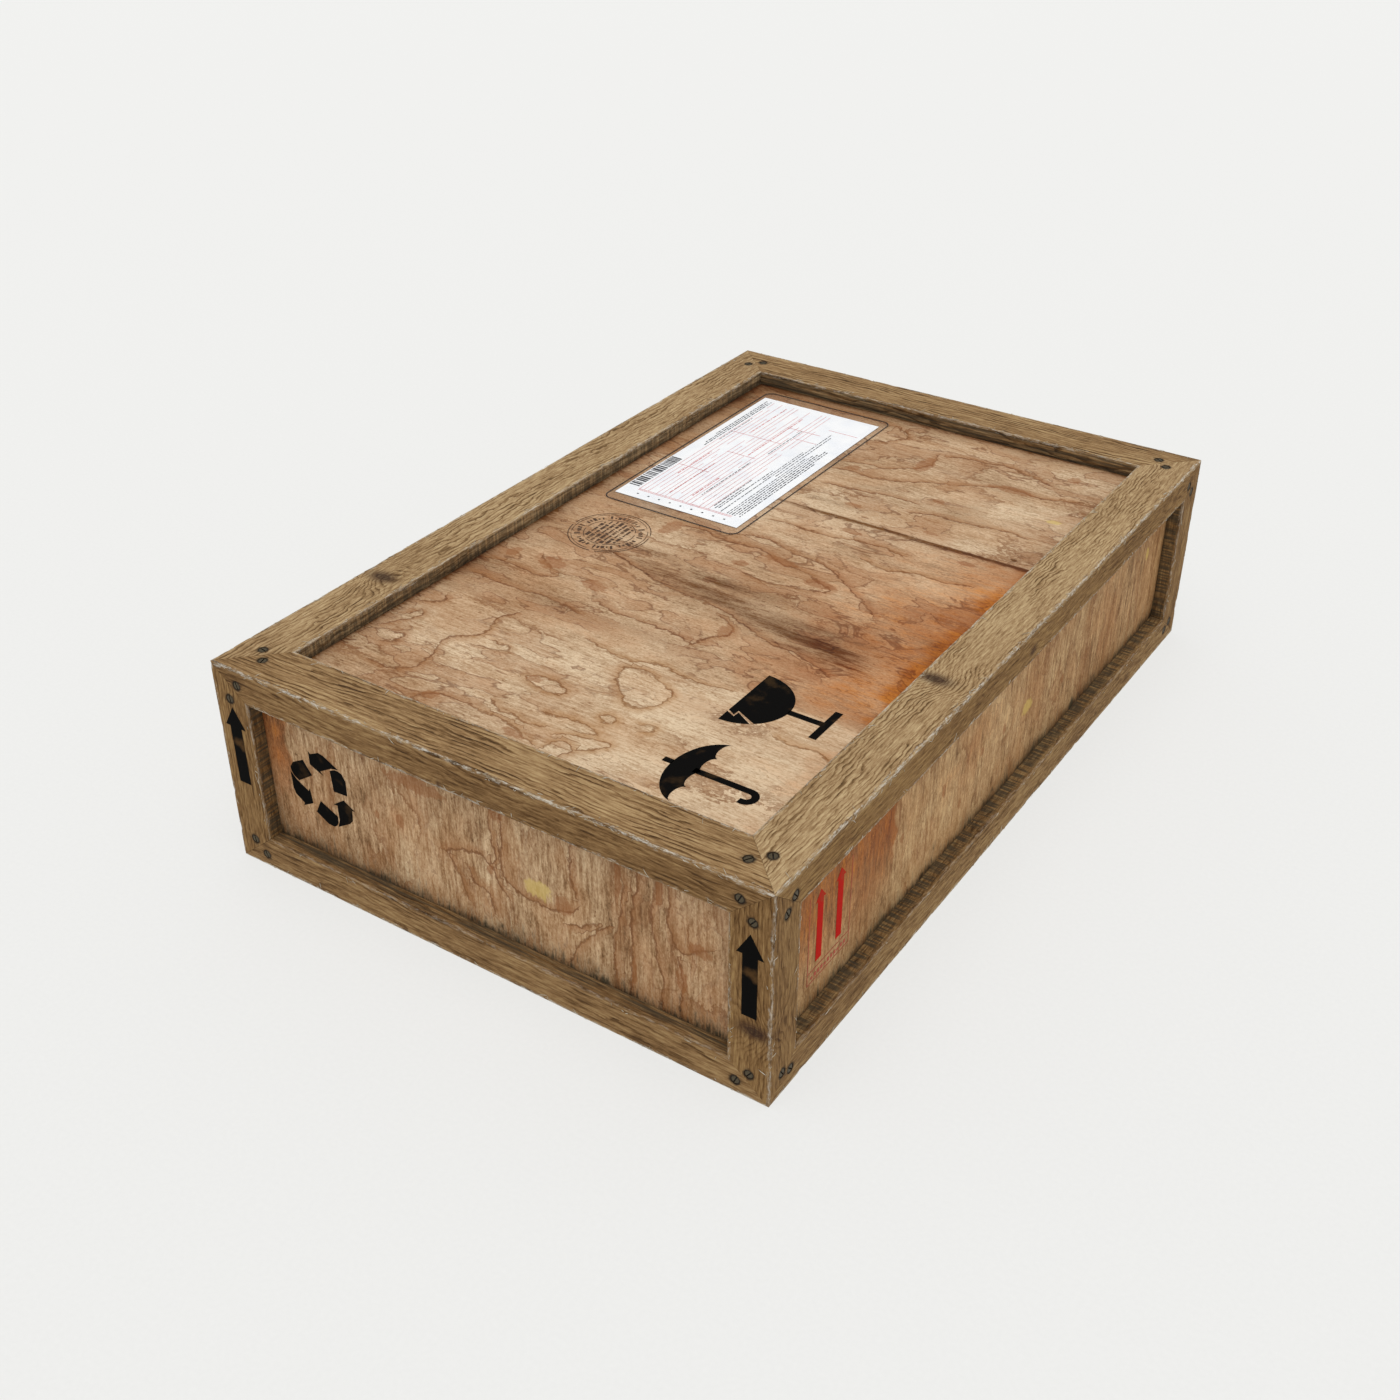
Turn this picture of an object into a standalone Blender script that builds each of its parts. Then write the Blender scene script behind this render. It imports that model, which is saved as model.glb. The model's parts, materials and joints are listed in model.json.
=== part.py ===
"""Shipping crate: mitred rails and corner posts around recessed plywood panels.

The crate stands on the XY plane, centred on the Z axis, with its long sides along Y.
The lid is a frame of its own, held by eight long screws. It lifts straight up.
"""

import math

import bmesh
import bpy
from mathutils import Matrix, Vector

# Overall size, in metres.
LENGTH = 1.200
WIDTH = 0.790
HEIGHT = 0.292

# Timber: rails run round the top and the bottom, posts stand in the corners.
RAIL_WIDTH = 0.071
RAIL_HEIGHT = 0.046
POST_FACE = 0.054
POST_SIZE = 0.070

# Plywood panels sit in grooves, set back from the outer faces of the frame.
RECESS = 0.021
PLY = 0.009
RAIL_TONGUE = 0.008
POST_TONGUE = 0.014
GAP = 0.0003

# Slotted countersunk screws.
HEAD_RADIUS = 0.0055
HEAD_RIM = 0.0004
HEAD_SINK = 0.0004
SHANK_RADIUS = 0.0018
LONG_SHANK_RADIUS = 0.00225
SCREW_POINT = 0.005
SLOT_WIDTH = 0.0014
SLOT_DEPTH = 0.0013
SCREW_SEGMENTS = 10
CUTTER_OVERRUN = 0.004

# Screws driven inwards near each corner: how far along the face they stand from the
# corner, how far from the top or the bottom edge, and how long they are. The two faces
# of a corner have different levels, so that the shanks pass over each other.
SIDE_SCREWS = (
    ("lid_corner_screw", "top", "end", 0.041, 0.0220, 0.058),
    ("lid_corner_screw", "top", "side", 0.041, 0.0270, 0.058),
    ("post_top_screw", "top", "end", 0.025, 0.0460, 0.050),
    ("post_top_screw", "top", "side", 0.026, 0.0412, 0.045),
    ("post_bottom_screw", "bottom", "end", 0.026, 0.0353, 0.055),
    ("post_bottom_screw", "bottom", "side", 0.026, 0.0305, 0.055),
    ("base_corner_screw", "bottom", "end", 0.043, 0.0180, 0.058),
    ("base_corner_screw", "bottom", "side", 0.043, 0.0230, 0.058),
)

# Lid screws go straight down into the posts, two at each corner.
LID_SCREW_NEAR = 0.035
LID_SCREW_FAR = 0.053
LID_SCREW_LENGTH = 0.070

# Paper label in a clear pocket on the lid. The pocket is open at its front end.
LABEL_CENTRE = (-0.182, 0.276)
LABEL_SIZE = (0.208, 0.412)
LABEL_THICKNESS = 0.0004
POCKET_CENTRE = (-0.181, 0.277)
POCKET_SIZE = (0.228, 0.458)
POCKET_SEAM = 0.006
FILM = 0.0003

CORNERS = {
    "front_left": (-1, -1),
    "front_right": (1, -1),
    "back_left": (-1, 1),
    "back_right": (1, 1),
}

SLOPE = RAIL_HEIGHT / POST_FACE
SLOPE_GAP = GAP / 2 * math.sqrt(1 + SLOPE**2)


def clear_scene():
    for obj in list(bpy.data.objects):
        bpy.data.objects.remove(obj, do_unlink=True)


def linear(channel):
    """One sRGB channel, 0 to 255, as the linear value that a shader takes."""
    value = channel / 255
    return value / 12.92 if value <= 0.04045 else ((value + 0.055) / 1.055) ** 2.4


def make_material(name, rgb, roughness, metallic=0.0, alpha=1.0):
    material = bpy.data.materials.new(name)
    material.use_nodes = True
    colour = (*(linear(channel) for channel in rgb), 1.0)
    shader = material.node_tree.nodes["Principled BSDF"]
    shader.inputs["Base Color"].default_value = colour
    shader.inputs["Roughness"].default_value = roughness
    shader.inputs["Metallic"].default_value = metallic
    shader.inputs["Alpha"].default_value = alpha
    material.diffuse_color = (*colour[:3], alpha)
    return material


def make_object(name, mesh, material=None):
    obj = bpy.data.objects.new(name, mesh)
    bpy.context.scene.collection.objects.link(obj)
    if material is not None:
        mesh.materials.clear()
        mesh.materials.append(material)
    return obj


def mesh_from(bm, name):
    """The finished mesh of a bmesh, with its faces pointing out."""
    bmesh.ops.recalc_face_normals(bm, faces=bm.faces)
    mesh = bpy.data.meshes.new(name)
    bm.to_mesh(mesh)
    bm.free()
    return mesh


def prism(outline, low, high):
    """A bmesh: the outline, in the XY plane, extruded along Z from low to high."""
    bm = bmesh.new()
    corners = [bm.verts.new((x, y, low)) for x, y in outline]
    base = bm.faces.new(corners)
    grown = bmesh.ops.extrude_face_region(bm, geom=[base])["geom"]
    moved = [item for item in grown if isinstance(item, bmesh.types.BMVert)]
    bmesh.ops.translate(bm, verts=moved, vec=(0, 0, high - low))
    return bm


def box(low, high):
    """A bmesh: a box between two opposite corners."""
    outline = [(low[0], low[1]), (high[0], low[1]), (high[0], high[1]), (low[0], high[1])]
    return prism(outline, low[2], high[2])


def cut_away(obj, cutter):
    """Subtracts the cutter from the object for good, and removes the cutter."""
    modifier = obj.modifiers.new("cut", "BOOLEAN")
    modifier.operation = "DIFFERENCE"
    modifier.solver = "EXACT"
    modifier.object = cutter
    graph = bpy.context.evaluated_depsgraph_get()
    mesh = bpy.data.meshes.new_from_object(obj.evaluated_get(graph))
    obj.modifiers.clear()
    materials = list(obj.data.materials)
    obj.data = mesh
    mesh.materials.clear()
    for material in materials:
        mesh.materials.append(material)
    bpy.data.objects.remove(cutter, do_unlink=True)


def keep_below_plane(bm, point, normal):
    """Cuts the solid at a plane, drops what lies beyond it, and closes the cut."""
    everything = bm.verts[:] + bm.edges[:] + bm.faces[:]
    bmesh.ops.bisect_plane(
        bm, geom=everything, dist=1e-7, plane_co=point, plane_no=normal, clear_outer=True
    )
    rim = [edge for edge in bm.edges if edge.is_boundary]
    bmesh.ops.holes_fill(bm, edges=rim, sides=0)


# Rails -------------------------------------------------------------------------------


def rail_outline():
    """A rail's section: depth in from the outer face, then depth in from top or bottom.

    One groove holds the edge of the lid or base panel, the other the edge of a wall.
    """
    near = RECESS - GAP
    far = RECESS + PLY + GAP
    panel_stop = RAIL_WIDTH - RAIL_TONGUE - GAP
    wall_stop = RAIL_HEIGHT - RAIL_TONGUE - GAP
    return [
        (0, 0),
        (RAIL_WIDTH, 0),
        (RAIL_WIDTH, near),
        (panel_stop, near),
        (panel_stop, far),
        (RAIL_WIDTH, far),
        (RAIL_WIDTH, RAIL_HEIGHT),
        (far, RAIL_HEIGHT),
        (far, wall_stop),
        (near, wall_stop),
        (near, RAIL_HEIGHT),
        (0, RAIL_HEIGHT),
    ]


def rail_shape(span):
    """A rail along Z, mitred at both ends to its neighbour and to the post."""
    half = span / 2
    bm = prism(rail_outline(), -half, half)
    for end in (-1, 1):
        tip = half - GAP / math.sqrt(2)
        keep_below_plane(bm, (0, 0, end * tip), (1, 0, end))
        tip = half - SLOPE_GAP / SLOPE
        keep_below_plane(bm, (0, 0, end * tip), (0, 1, end * SLOPE))
    return bm


def rail_frame(along, side, level):
    """The matrix that takes a rail from its own axes to its place in the crate."""
    up = -1 if level == "top" else 1
    height = HEIGHT if level == "top" else 0
    if along == "x":
        outer = (0, side * LENGTH / 2, height)
        columns = ((0, -side, 0), (0, 0, up), (1, 0, 0))
    else:
        outer = (side * WIDTH / 2, 0, height)
        columns = ((-side, 0, 0), (0, 0, up), (0, 1, 0))
    matrix = Matrix(columns).transposed().to_4x4()
    matrix.translation = outer
    return matrix


def make_rails(prefix, level, timber):
    places = {"front": ("x", -1), "back": ("x", 1), "left": ("y", -1), "right": ("y", 1)}
    rails = []
    for word, (along, side) in places.items():
        bm = rail_shape(WIDTH if along == "x" else LENGTH)
        bm.transform(rail_frame(along, side, level))
        name = f"{prefix}_rail_{word}"
        rails.append(make_object(name, mesh_from(bm, name), timber))
    return rails


# Posts -------------------------------------------------------------------------------


def post_outline():
    """A post's section from its outer corner, with a slot for each wall panel."""
    near = RECESS - GAP
    far = RECESS + PLY + GAP
    stop = POST_FACE - POST_TONGUE - GAP
    half = [(POST_FACE, near), (stop, near), (stop, far), (POST_SIZE, far)]
    mirrored = [(y, x) for x, y in reversed(half)]
    return [(0, 0), (POST_FACE, 0), *half, (POST_SIZE, POST_SIZE), *mirrored, (0, POST_FACE)]


def make_post(name, side_x, side_y, timber):
    """A post cut to a low pyramid at both ends, so that the rails' ends slope over it."""
    bm = prism(post_outline(), 0, HEIGHT)
    for height, up in ((0, -1), (HEIGHT, 1)):
        tip = height - up * SLOPE_GAP
        keep_below_plane(bm, (0, 0, tip), (SLOPE, 0, up))
        keep_below_plane(bm, (0, 0, tip), (0, SLOPE, up))
    place = Matrix.Diagonal((-side_x, -side_y, 1, 1))
    place.translation = (side_x * WIDTH / 2, side_y * LENGTH / 2, 0)
    bm.transform(place)
    return make_object(name, mesh_from(bm, name), timber)


# Panels ------------------------------------------------------------------------------


def make_flat_panel(name, low_z, plywood):
    """The lid or the base panel: its edges sit in the grooves of four rails."""
    half_x = WIDTH / 2 - RAIL_WIDTH + RAIL_TONGUE
    half_y = LENGTH / 2 - RAIL_WIDTH + RAIL_TONGUE
    bm = box((-half_x, -half_y, low_z), (half_x, half_y, low_z + PLY))
    return make_object(name, mesh_from(bm, name), plywood)


def make_wall(name, along, side, plywood):
    """A wall panel: its ends slide into two posts, its edges into the rails."""
    span = WIDTH if along == "x" else LENGTH
    across = LENGTH if along == "x" else WIDTH
    half = span / 2 - POST_FACE + POST_TONGUE
    outer = side * (across / 2 - RECESS)
    inner = side * (across / 2 - RECESS - PLY)
    low = RAIL_HEIGHT - RAIL_TONGUE
    near, far = min(outer, inner), max(outer, inner)
    if along == "x":
        bm = box((-half, near, low), (half, far, HEIGHT - low))
    else:
        bm = box((near, -half, low), (far, half, HEIGHT - low))
    return make_object(name, mesh_from(bm, name), plywood)


def make_walls(plywood):
    return [
        make_wall("wall_panel_front", "x", -1, plywood),
        make_wall("wall_panel_back", "x", 1, plywood),
        make_wall("wall_panel_left", "y", -1, plywood),
        make_wall("wall_panel_right", "y", 1, plywood),
    ]


# Screws ------------------------------------------------------------------------------


def turned(profile, name):
    """A solid turned about Z from a profile of (radius, height), top to bottom."""
    bm = bmesh.new()
    points = [bm.verts.new((radius, 0, height)) for radius, height in profile]
    edges = [bm.edges.new(pair) for pair in zip(points, points[1:])]
    bmesh.ops.spin(
        bm,
        geom=points + edges,
        cent=(0, 0, 0),
        axis=(0, 0, 1),
        angle=math.tau,
        steps=SCREW_SEGMENTS,
    )
    bmesh.ops.remove_doubles(bm, verts=bm.verts, dist=1e-6)
    return mesh_from(bm, name)


def screw_profile(radius, length):
    cone_end = -HEAD_SINK - HEAD_RIM - (HEAD_RADIUS - radius)
    return [
        (0, -HEAD_SINK),
        (HEAD_RADIUS, -HEAD_SINK),
        (HEAD_RADIUS, -HEAD_SINK - HEAD_RIM),
        (radius, cone_end),
        (radius, SCREW_POINT - length),
        (0, -length),
    ]


def hole_profile(radius, length):
    """The countersunk hole for a screw, a gap larger all round."""
    wide = HEAD_RADIUS + GAP
    rim_end = -HEAD_SINK - HEAD_RIM - GAP / 2
    narrow = radius + GAP
    return [
        (0, CUTTER_OVERRUN),
        (wide, CUTTER_OVERRUN),
        (wide, rim_end),
        (narrow, rim_end - (wide - narrow)),
        (narrow, -length - GAP),
        (0, -length - GAP),
    ]


def screw_mesh(name, radius, length):
    """A slotted countersunk screw that points down, its origin level with the timber."""
    obj = make_object(name, turned(screw_profile(radius, length), name))
    reach = HEAD_RADIUS + 0.001
    half = SLOT_WIDTH / 2
    slot = box((-reach, -half, -HEAD_SINK - SLOT_DEPTH), (reach, half, CUTTER_OVERRUN))
    cut_away(obj, make_object("slot", mesh_from(slot, "slot")))
    mesh = obj.data
    bpy.data.objects.remove(obj, do_unlink=True)
    mesh.shade_smooth()
    mesh.set_sharp_from_angle(angle=math.radians(35))
    return mesh


def side_screw_places():
    """(name, matrix, radius, length) of every screw driven in from a wall face."""
    places = []
    for corner, (side_x, side_y) in CORNERS.items():
        for group, level, face, inset, rise, length in SIDE_SCREWS:
            height = HEIGHT - rise if level == "top" else rise
            if face == "end":
                head = (side_x * (WIDTH / 2 - inset), side_y * LENGTH / 2, height)
                outward = Vector((0, side_y, 0))
            else:
                head = (side_x * WIDTH / 2, side_y * (LENGTH / 2 - inset), height)
                outward = Vector((side_x, 0, 0))
            turn = math.radians(37 * len(places))
            matrix = outward.to_track_quat("Z", "Y").to_matrix().to_4x4()
            matrix = matrix @ Matrix.Rotation(turn, 4, "Z")
            matrix.translation = head
            places.append((f"{group}_{corner}_{face}", matrix, SHANK_RADIUS, length))
    return places


def lid_screw_places():
    """(name, matrix, radius, length) of the screws that hold the lid down."""
    places = []
    for corner, (side_x, side_y) in CORNERS.items():
        pairs = (("end", LID_SCREW_FAR, LID_SCREW_NEAR), ("side", LID_SCREW_NEAR, LID_SCREW_FAR))
        for word, from_side, from_end in pairs:
            turn = math.radians(20 + 53 * len(places))
            matrix = Matrix.Rotation(turn, 4, "Z")
            matrix.translation = (
                side_x * (WIDTH / 2 - from_side),
                side_y * (LENGTH / 2 - from_end),
                HEIGHT,
            )
            name = f"lid_screw_{corner}_{word}"
            places.append((name, matrix, LONG_SHANK_RADIUS, LID_SCREW_LENGTH))
    return places


def make_screws(places, steel):
    """One object for each screw. Screws of one size share a mesh."""
    meshes = {}
    for name, matrix, radius, length in places:
        size = (radius, length)
        if size not in meshes:
            label = f"screw_{round(2000 * radius, 1)}x{round(1000 * length)}"
            meshes[size] = screw_mesh(label, radius, length)
        obj = make_object(name, meshes[size], steel)
        obj.matrix_world = matrix


def world_box(obj):
    points = [obj.matrix_world @ vertex.co for vertex in obj.data.vertices]
    low = Vector(min(point[axis] for point in points) for axis in range(3))
    high = Vector(max(point[axis] for point in points) for axis in range(3))
    return low, high


def boxes_meet(first, second):
    return all(first[0][i] < second[1][i] and second[0][i] < first[1][i] for i in range(3))


def drill_for_screws(pieces, places):
    """Cuts each screw's hole through every piece that the screw passes through."""
    bpy.context.view_layer.update()
    holes = []
    for _name, matrix, radius, length in places:
        hole = make_object("hole", turned(hole_profile(radius, length), "hole"))
        hole.data.transform(matrix)
        holes.append(hole)
    for piece in pieces:
        piece_box = world_box(piece)
        near = [hole for hole in holes if boxes_meet(piece_box, world_box(hole))]
        bm = bmesh.new()
        for hole in near:
            bm.from_mesh(hole.data)
        cut_away(piece, make_object("holes", mesh_from(bm, "holes")))
    for hole in holes:
        bpy.data.objects.remove(hole, do_unlink=True)


# Label -------------------------------------------------------------------------------


def flat_box(centre, size, low_z, thickness):
    low = (centre[0] - size[0] / 2, centre[1] - size[1] / 2, low_z)
    high = (centre[0] + size[0] / 2, centre[1] + size[1] / 2, low_z + thickness)
    return box(low, high)


def make_pocket(film):
    """Two films sealed along three edges, open towards the front."""
    low_z = HEIGHT - RECESS + GAP
    hollow = LABEL_THICKNESS + 2 * GAP
    shell = flat_box(POCKET_CENTRE, POCKET_SIZE, low_z, hollow + 2 * FILM)
    obj = make_object("label_pocket", mesh_from(shell, "label_pocket"), film)
    inside = (POCKET_SIZE[0] - 2 * POCKET_SEAM, POCKET_SIZE[1])
    centre = (POCKET_CENTRE[0], POCKET_CENTRE[1] - POCKET_SEAM)
    space = flat_box(centre, inside, low_z + FILM, hollow)
    cut_away(obj, make_object("space", mesh_from(space, "space")))


def make_label(paper):
    low_z = HEIGHT - RECESS + FILM + 2 * GAP
    sheet = flat_box(LABEL_CENTRE, LABEL_SIZE, low_z, LABEL_THICKNESS)
    make_object("label", mesh_from(sheet, "label"), paper)


# Assembly ----------------------------------------------------------------------------


def build_crate():
    clear_scene()
    timber = make_material("timber", (160, 130, 92), 0.75)
    plywood = make_material("plywood", (196, 158, 120), 0.7)
    steel = make_material("screw_steel", (96, 88, 74), 0.45, metallic=0.9)
    paper = make_material("label_paper", (236, 232, 224), 0.6)
    film = make_material("pocket_film", (240, 240, 238), 0.15, alpha=0.3)

    pieces = make_rails("lid", "top", timber) + make_rails("base", "bottom", timber)
    for corner, (side_x, side_y) in CORNERS.items():
        pieces.append(make_post(f"post_{corner}", side_x, side_y, timber))
    pieces += make_walls(plywood)
    make_flat_panel("lid_panel", HEIGHT - RECESS - PLY, plywood)
    make_flat_panel("base_panel", RECESS, plywood)
    places = side_screw_places() + lid_screw_places()
    drill_for_screws(pieces, places)
    make_screws(places, steel)
    make_label(paper)
    make_pocket(film)


build_crate()
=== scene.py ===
"""Looks of the shipping crate: worn timber, stained plywood, stencilled marks, a label.

Every timber and panel is built again here as a fine mesh in the place of its CAD node.
Colour comes from node materials that read a few painted values (attributes) of the mesh.
"""

import functools
import itertools
import json
import math

import bmesh
import bpy
import numpy as np
from mathutils import Matrix, Vector

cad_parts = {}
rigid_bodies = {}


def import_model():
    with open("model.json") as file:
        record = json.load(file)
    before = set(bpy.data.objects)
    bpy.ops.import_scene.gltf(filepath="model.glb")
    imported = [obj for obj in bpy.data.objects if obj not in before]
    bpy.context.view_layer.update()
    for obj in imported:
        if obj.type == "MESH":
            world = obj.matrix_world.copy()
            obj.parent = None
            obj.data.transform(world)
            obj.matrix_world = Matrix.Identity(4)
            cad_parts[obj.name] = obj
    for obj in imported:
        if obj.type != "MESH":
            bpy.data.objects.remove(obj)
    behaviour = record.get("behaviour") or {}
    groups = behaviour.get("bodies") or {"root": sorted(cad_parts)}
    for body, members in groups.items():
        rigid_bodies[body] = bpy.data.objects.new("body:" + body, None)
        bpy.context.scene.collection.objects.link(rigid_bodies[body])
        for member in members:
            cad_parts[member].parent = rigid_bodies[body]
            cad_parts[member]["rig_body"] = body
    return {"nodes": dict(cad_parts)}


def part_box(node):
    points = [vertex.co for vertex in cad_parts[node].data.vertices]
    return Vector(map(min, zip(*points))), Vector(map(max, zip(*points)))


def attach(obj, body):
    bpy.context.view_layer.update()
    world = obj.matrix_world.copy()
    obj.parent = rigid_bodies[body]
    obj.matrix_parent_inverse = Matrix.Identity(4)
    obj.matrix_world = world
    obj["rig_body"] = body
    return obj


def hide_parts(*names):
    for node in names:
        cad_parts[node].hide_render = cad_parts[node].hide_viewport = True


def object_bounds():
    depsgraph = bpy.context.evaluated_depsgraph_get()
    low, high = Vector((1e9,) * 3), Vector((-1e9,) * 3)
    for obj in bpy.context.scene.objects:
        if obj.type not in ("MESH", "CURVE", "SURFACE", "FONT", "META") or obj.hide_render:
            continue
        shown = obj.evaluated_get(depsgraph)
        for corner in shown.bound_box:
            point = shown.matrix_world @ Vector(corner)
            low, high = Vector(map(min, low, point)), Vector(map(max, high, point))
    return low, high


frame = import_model()
CAD_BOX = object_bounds()

# Overall size, read from the frame, and the two sizes that its boxes don't show.
WIDTH, LENGTH, HEIGHT = CAD_BOX[1] - CAD_BOX[0]
PANEL_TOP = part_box("lid_panel")[1].z
PLY = PANEL_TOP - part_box("lid_panel")[0].z
RECESS = HEIGHT - PANEL_TOP
RAIL_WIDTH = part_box("lid_rail_front")[1].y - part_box("lid_rail_front")[0].y
RAIL_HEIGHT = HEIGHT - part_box("lid_rail_front")[0].z
POST_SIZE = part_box("post_front_left")[1].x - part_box("post_front_left")[0].x
POST_FACE = 0.054
GAP = 0.0003

# The mitre planes on top of each post, and a panel's groove in from the outer face.
SLOPE = RAIL_HEIGHT / POST_FACE
SLOPE_GAP = GAP / 2 * math.sqrt(1 + SLOPE**2)
GROOVE_NEAR = RECESS - GAP
GROOVE_FAR = RECESS + PLY + GAP

# How finely the timber and the panels are meshed.
STATION = 0.006
FACE_STEP = 0.006
ARRIS_STEPS = 4
PANEL_STEP = 0.004
HIDDEN_PANEL_STEP = 0.008
LABEL_STEP = 0.012

# The camera: where it stands and what it looks along, in the row frame.
CAMERA_PLACE = (1.0382, -1.6993, 1.3450)
CAMERA_AIM = (-0.4646, 0.6984, -0.5445)
CAMERA_LENS = 43.34


# Small tools --------------------------------------------------------------------------


def srgb(red, green, blue):
    """A colour given in sRGB, 0 to 255, as the linear RGBA that shaders take."""
    values = [channel / 255 for channel in (red, green, blue)]
    linear = [v / 12.92 if v <= 0.04045 else ((v + 0.055) / 1.055) ** 2.4 for v in values]
    return (*linear, 1.0)


def lattice_noise(points, seed):
    """Smooth noise from -1 to 1 at each point (N x 3), with one cell per unit."""
    cells = np.floor(points).astype(np.int64)
    part = points - cells
    blend = part * part * (3 - 2 * part)
    total = np.zeros(len(points))
    for corner in itertools.product((0, 1), repeat=3):
        cell = cells + corner
        key = cell[:, 0] * 73856093 ^ cell[:, 1] * 19349663 ^ cell[:, 2] * 83492791
        key = (key ^ seed * 2654435761) & 0xFFFFFFFF
        key = ((key ^ (key >> 13)) * 1274126177) & 0xFFFFFFFF
        value = ((key ^ (key >> 16)) & 0xFFFF) / 32767.5 - 1
        total += value * np.where(corner, blend, 1 - blend).prod(axis=1)
    return total


def layered_noise(points, seed, layers=3):
    """Noise with finer layers on top, each half as strong as the one before."""
    total = np.zeros(len(points))
    for layer in range(layers):
        total += lattice_noise(points * 2**layer, seed + 17 * layer) / 2**layer
    return total


def face_noise(x, y, cells_x, cells_y, seed, layers=3):
    """Layered noise over a flat face, with its cells per metre along x and along y."""
    spots = np.column_stack([x * cells_x, y * cells_y, np.zeros(len(x))])
    return layered_noise(spots, seed, layers)


def smooth(values, low, high):
    """0 below low, 1 above high, and a smooth step between them."""
    part = np.clip((values - low) / (high - low), 0, 1)
    return part * part * (3 - 2 * part)


def bell(values, width):
    """1 where the values are 0, falling away smoothly within about the width."""
    return np.exp(-((values / width) ** 2))


def distance_to(points, places):
    """How far each point is from the nearest of the places."""
    gaps = [np.linalg.norm(points - np.array(place), axis=1) for place in places]
    return np.min(gaps, axis=0)


def mesh_points(mesh):
    flat = np.empty(len(mesh.vertices) * 3, np.float32)
    mesh.vertices.foreach_get("co", flat)
    return flat.reshape(-1, 3).astype(float)


def paint(mesh, name, values):
    """Stores one number, or one vector, for each vertex of the mesh."""
    values = np.asarray(values, np.float32)
    kind, field = ("FLOAT", "value") if values.ndim == 1 else ("FLOAT_VECTOR", "vector")
    attribute = mesh.attributes.new(name, kind, "POINT")
    attribute.data.foreach_set(field, values.ravel())


def make_object(name, mesh, *materials):
    obj = bpy.data.objects.new(name, mesh)
    bpy.context.scene.collection.objects.link(obj)
    for material in materials:
        mesh.materials.append(material)
    return obj


def mesh_from(bm, name):
    bmesh.ops.recalc_face_normals(bm, faces=bm.faces)
    mesh = bpy.data.meshes.new(name)
    bm.to_mesh(mesh)
    bm.free()
    return mesh


def shade(mesh, degrees):
    """Smooth shading, with creases where faces meet at more than the angle."""
    mesh.shade_smooth()
    mesh.set_sharp_from_angle(angle=math.radians(degrees))


def bridge(bm, first, second):
    """Joins two rings of vertices, equally many in each, with a band of faces."""
    for index in range(len(first)):
        after = (index + 1) % len(first)
        bm.faces.new((first[index], first[after], second[after], second[index]))


def cut_away(obj, cutter):
    """Subtracts the cutter from the object for good, and removes the cutter."""
    modifier = obj.modifiers.new("cut", "BOOLEAN")
    modifier.operation = "DIFFERENCE"
    modifier.solver = "EXACT"
    modifier.object = cutter
    graph = bpy.context.evaluated_depsgraph_get()
    mesh = bpy.data.meshes.new_from_object(obj.evaluated_get(graph))
    obj.modifiers.clear()
    obj.data = mesh
    bpy.data.objects.remove(cutter, do_unlink=True)


def ride_with(obj, node):
    """The object rides on a CAD node's body."""
    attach(obj, frame["nodes"][node]["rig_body"])


def stand_for(obj, node):
    """The object takes the place of a CAD node and rides on that node's body."""
    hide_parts(node)
    ride_with(obj, node)


# Node materials -----------------------------------------------------------------------


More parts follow.
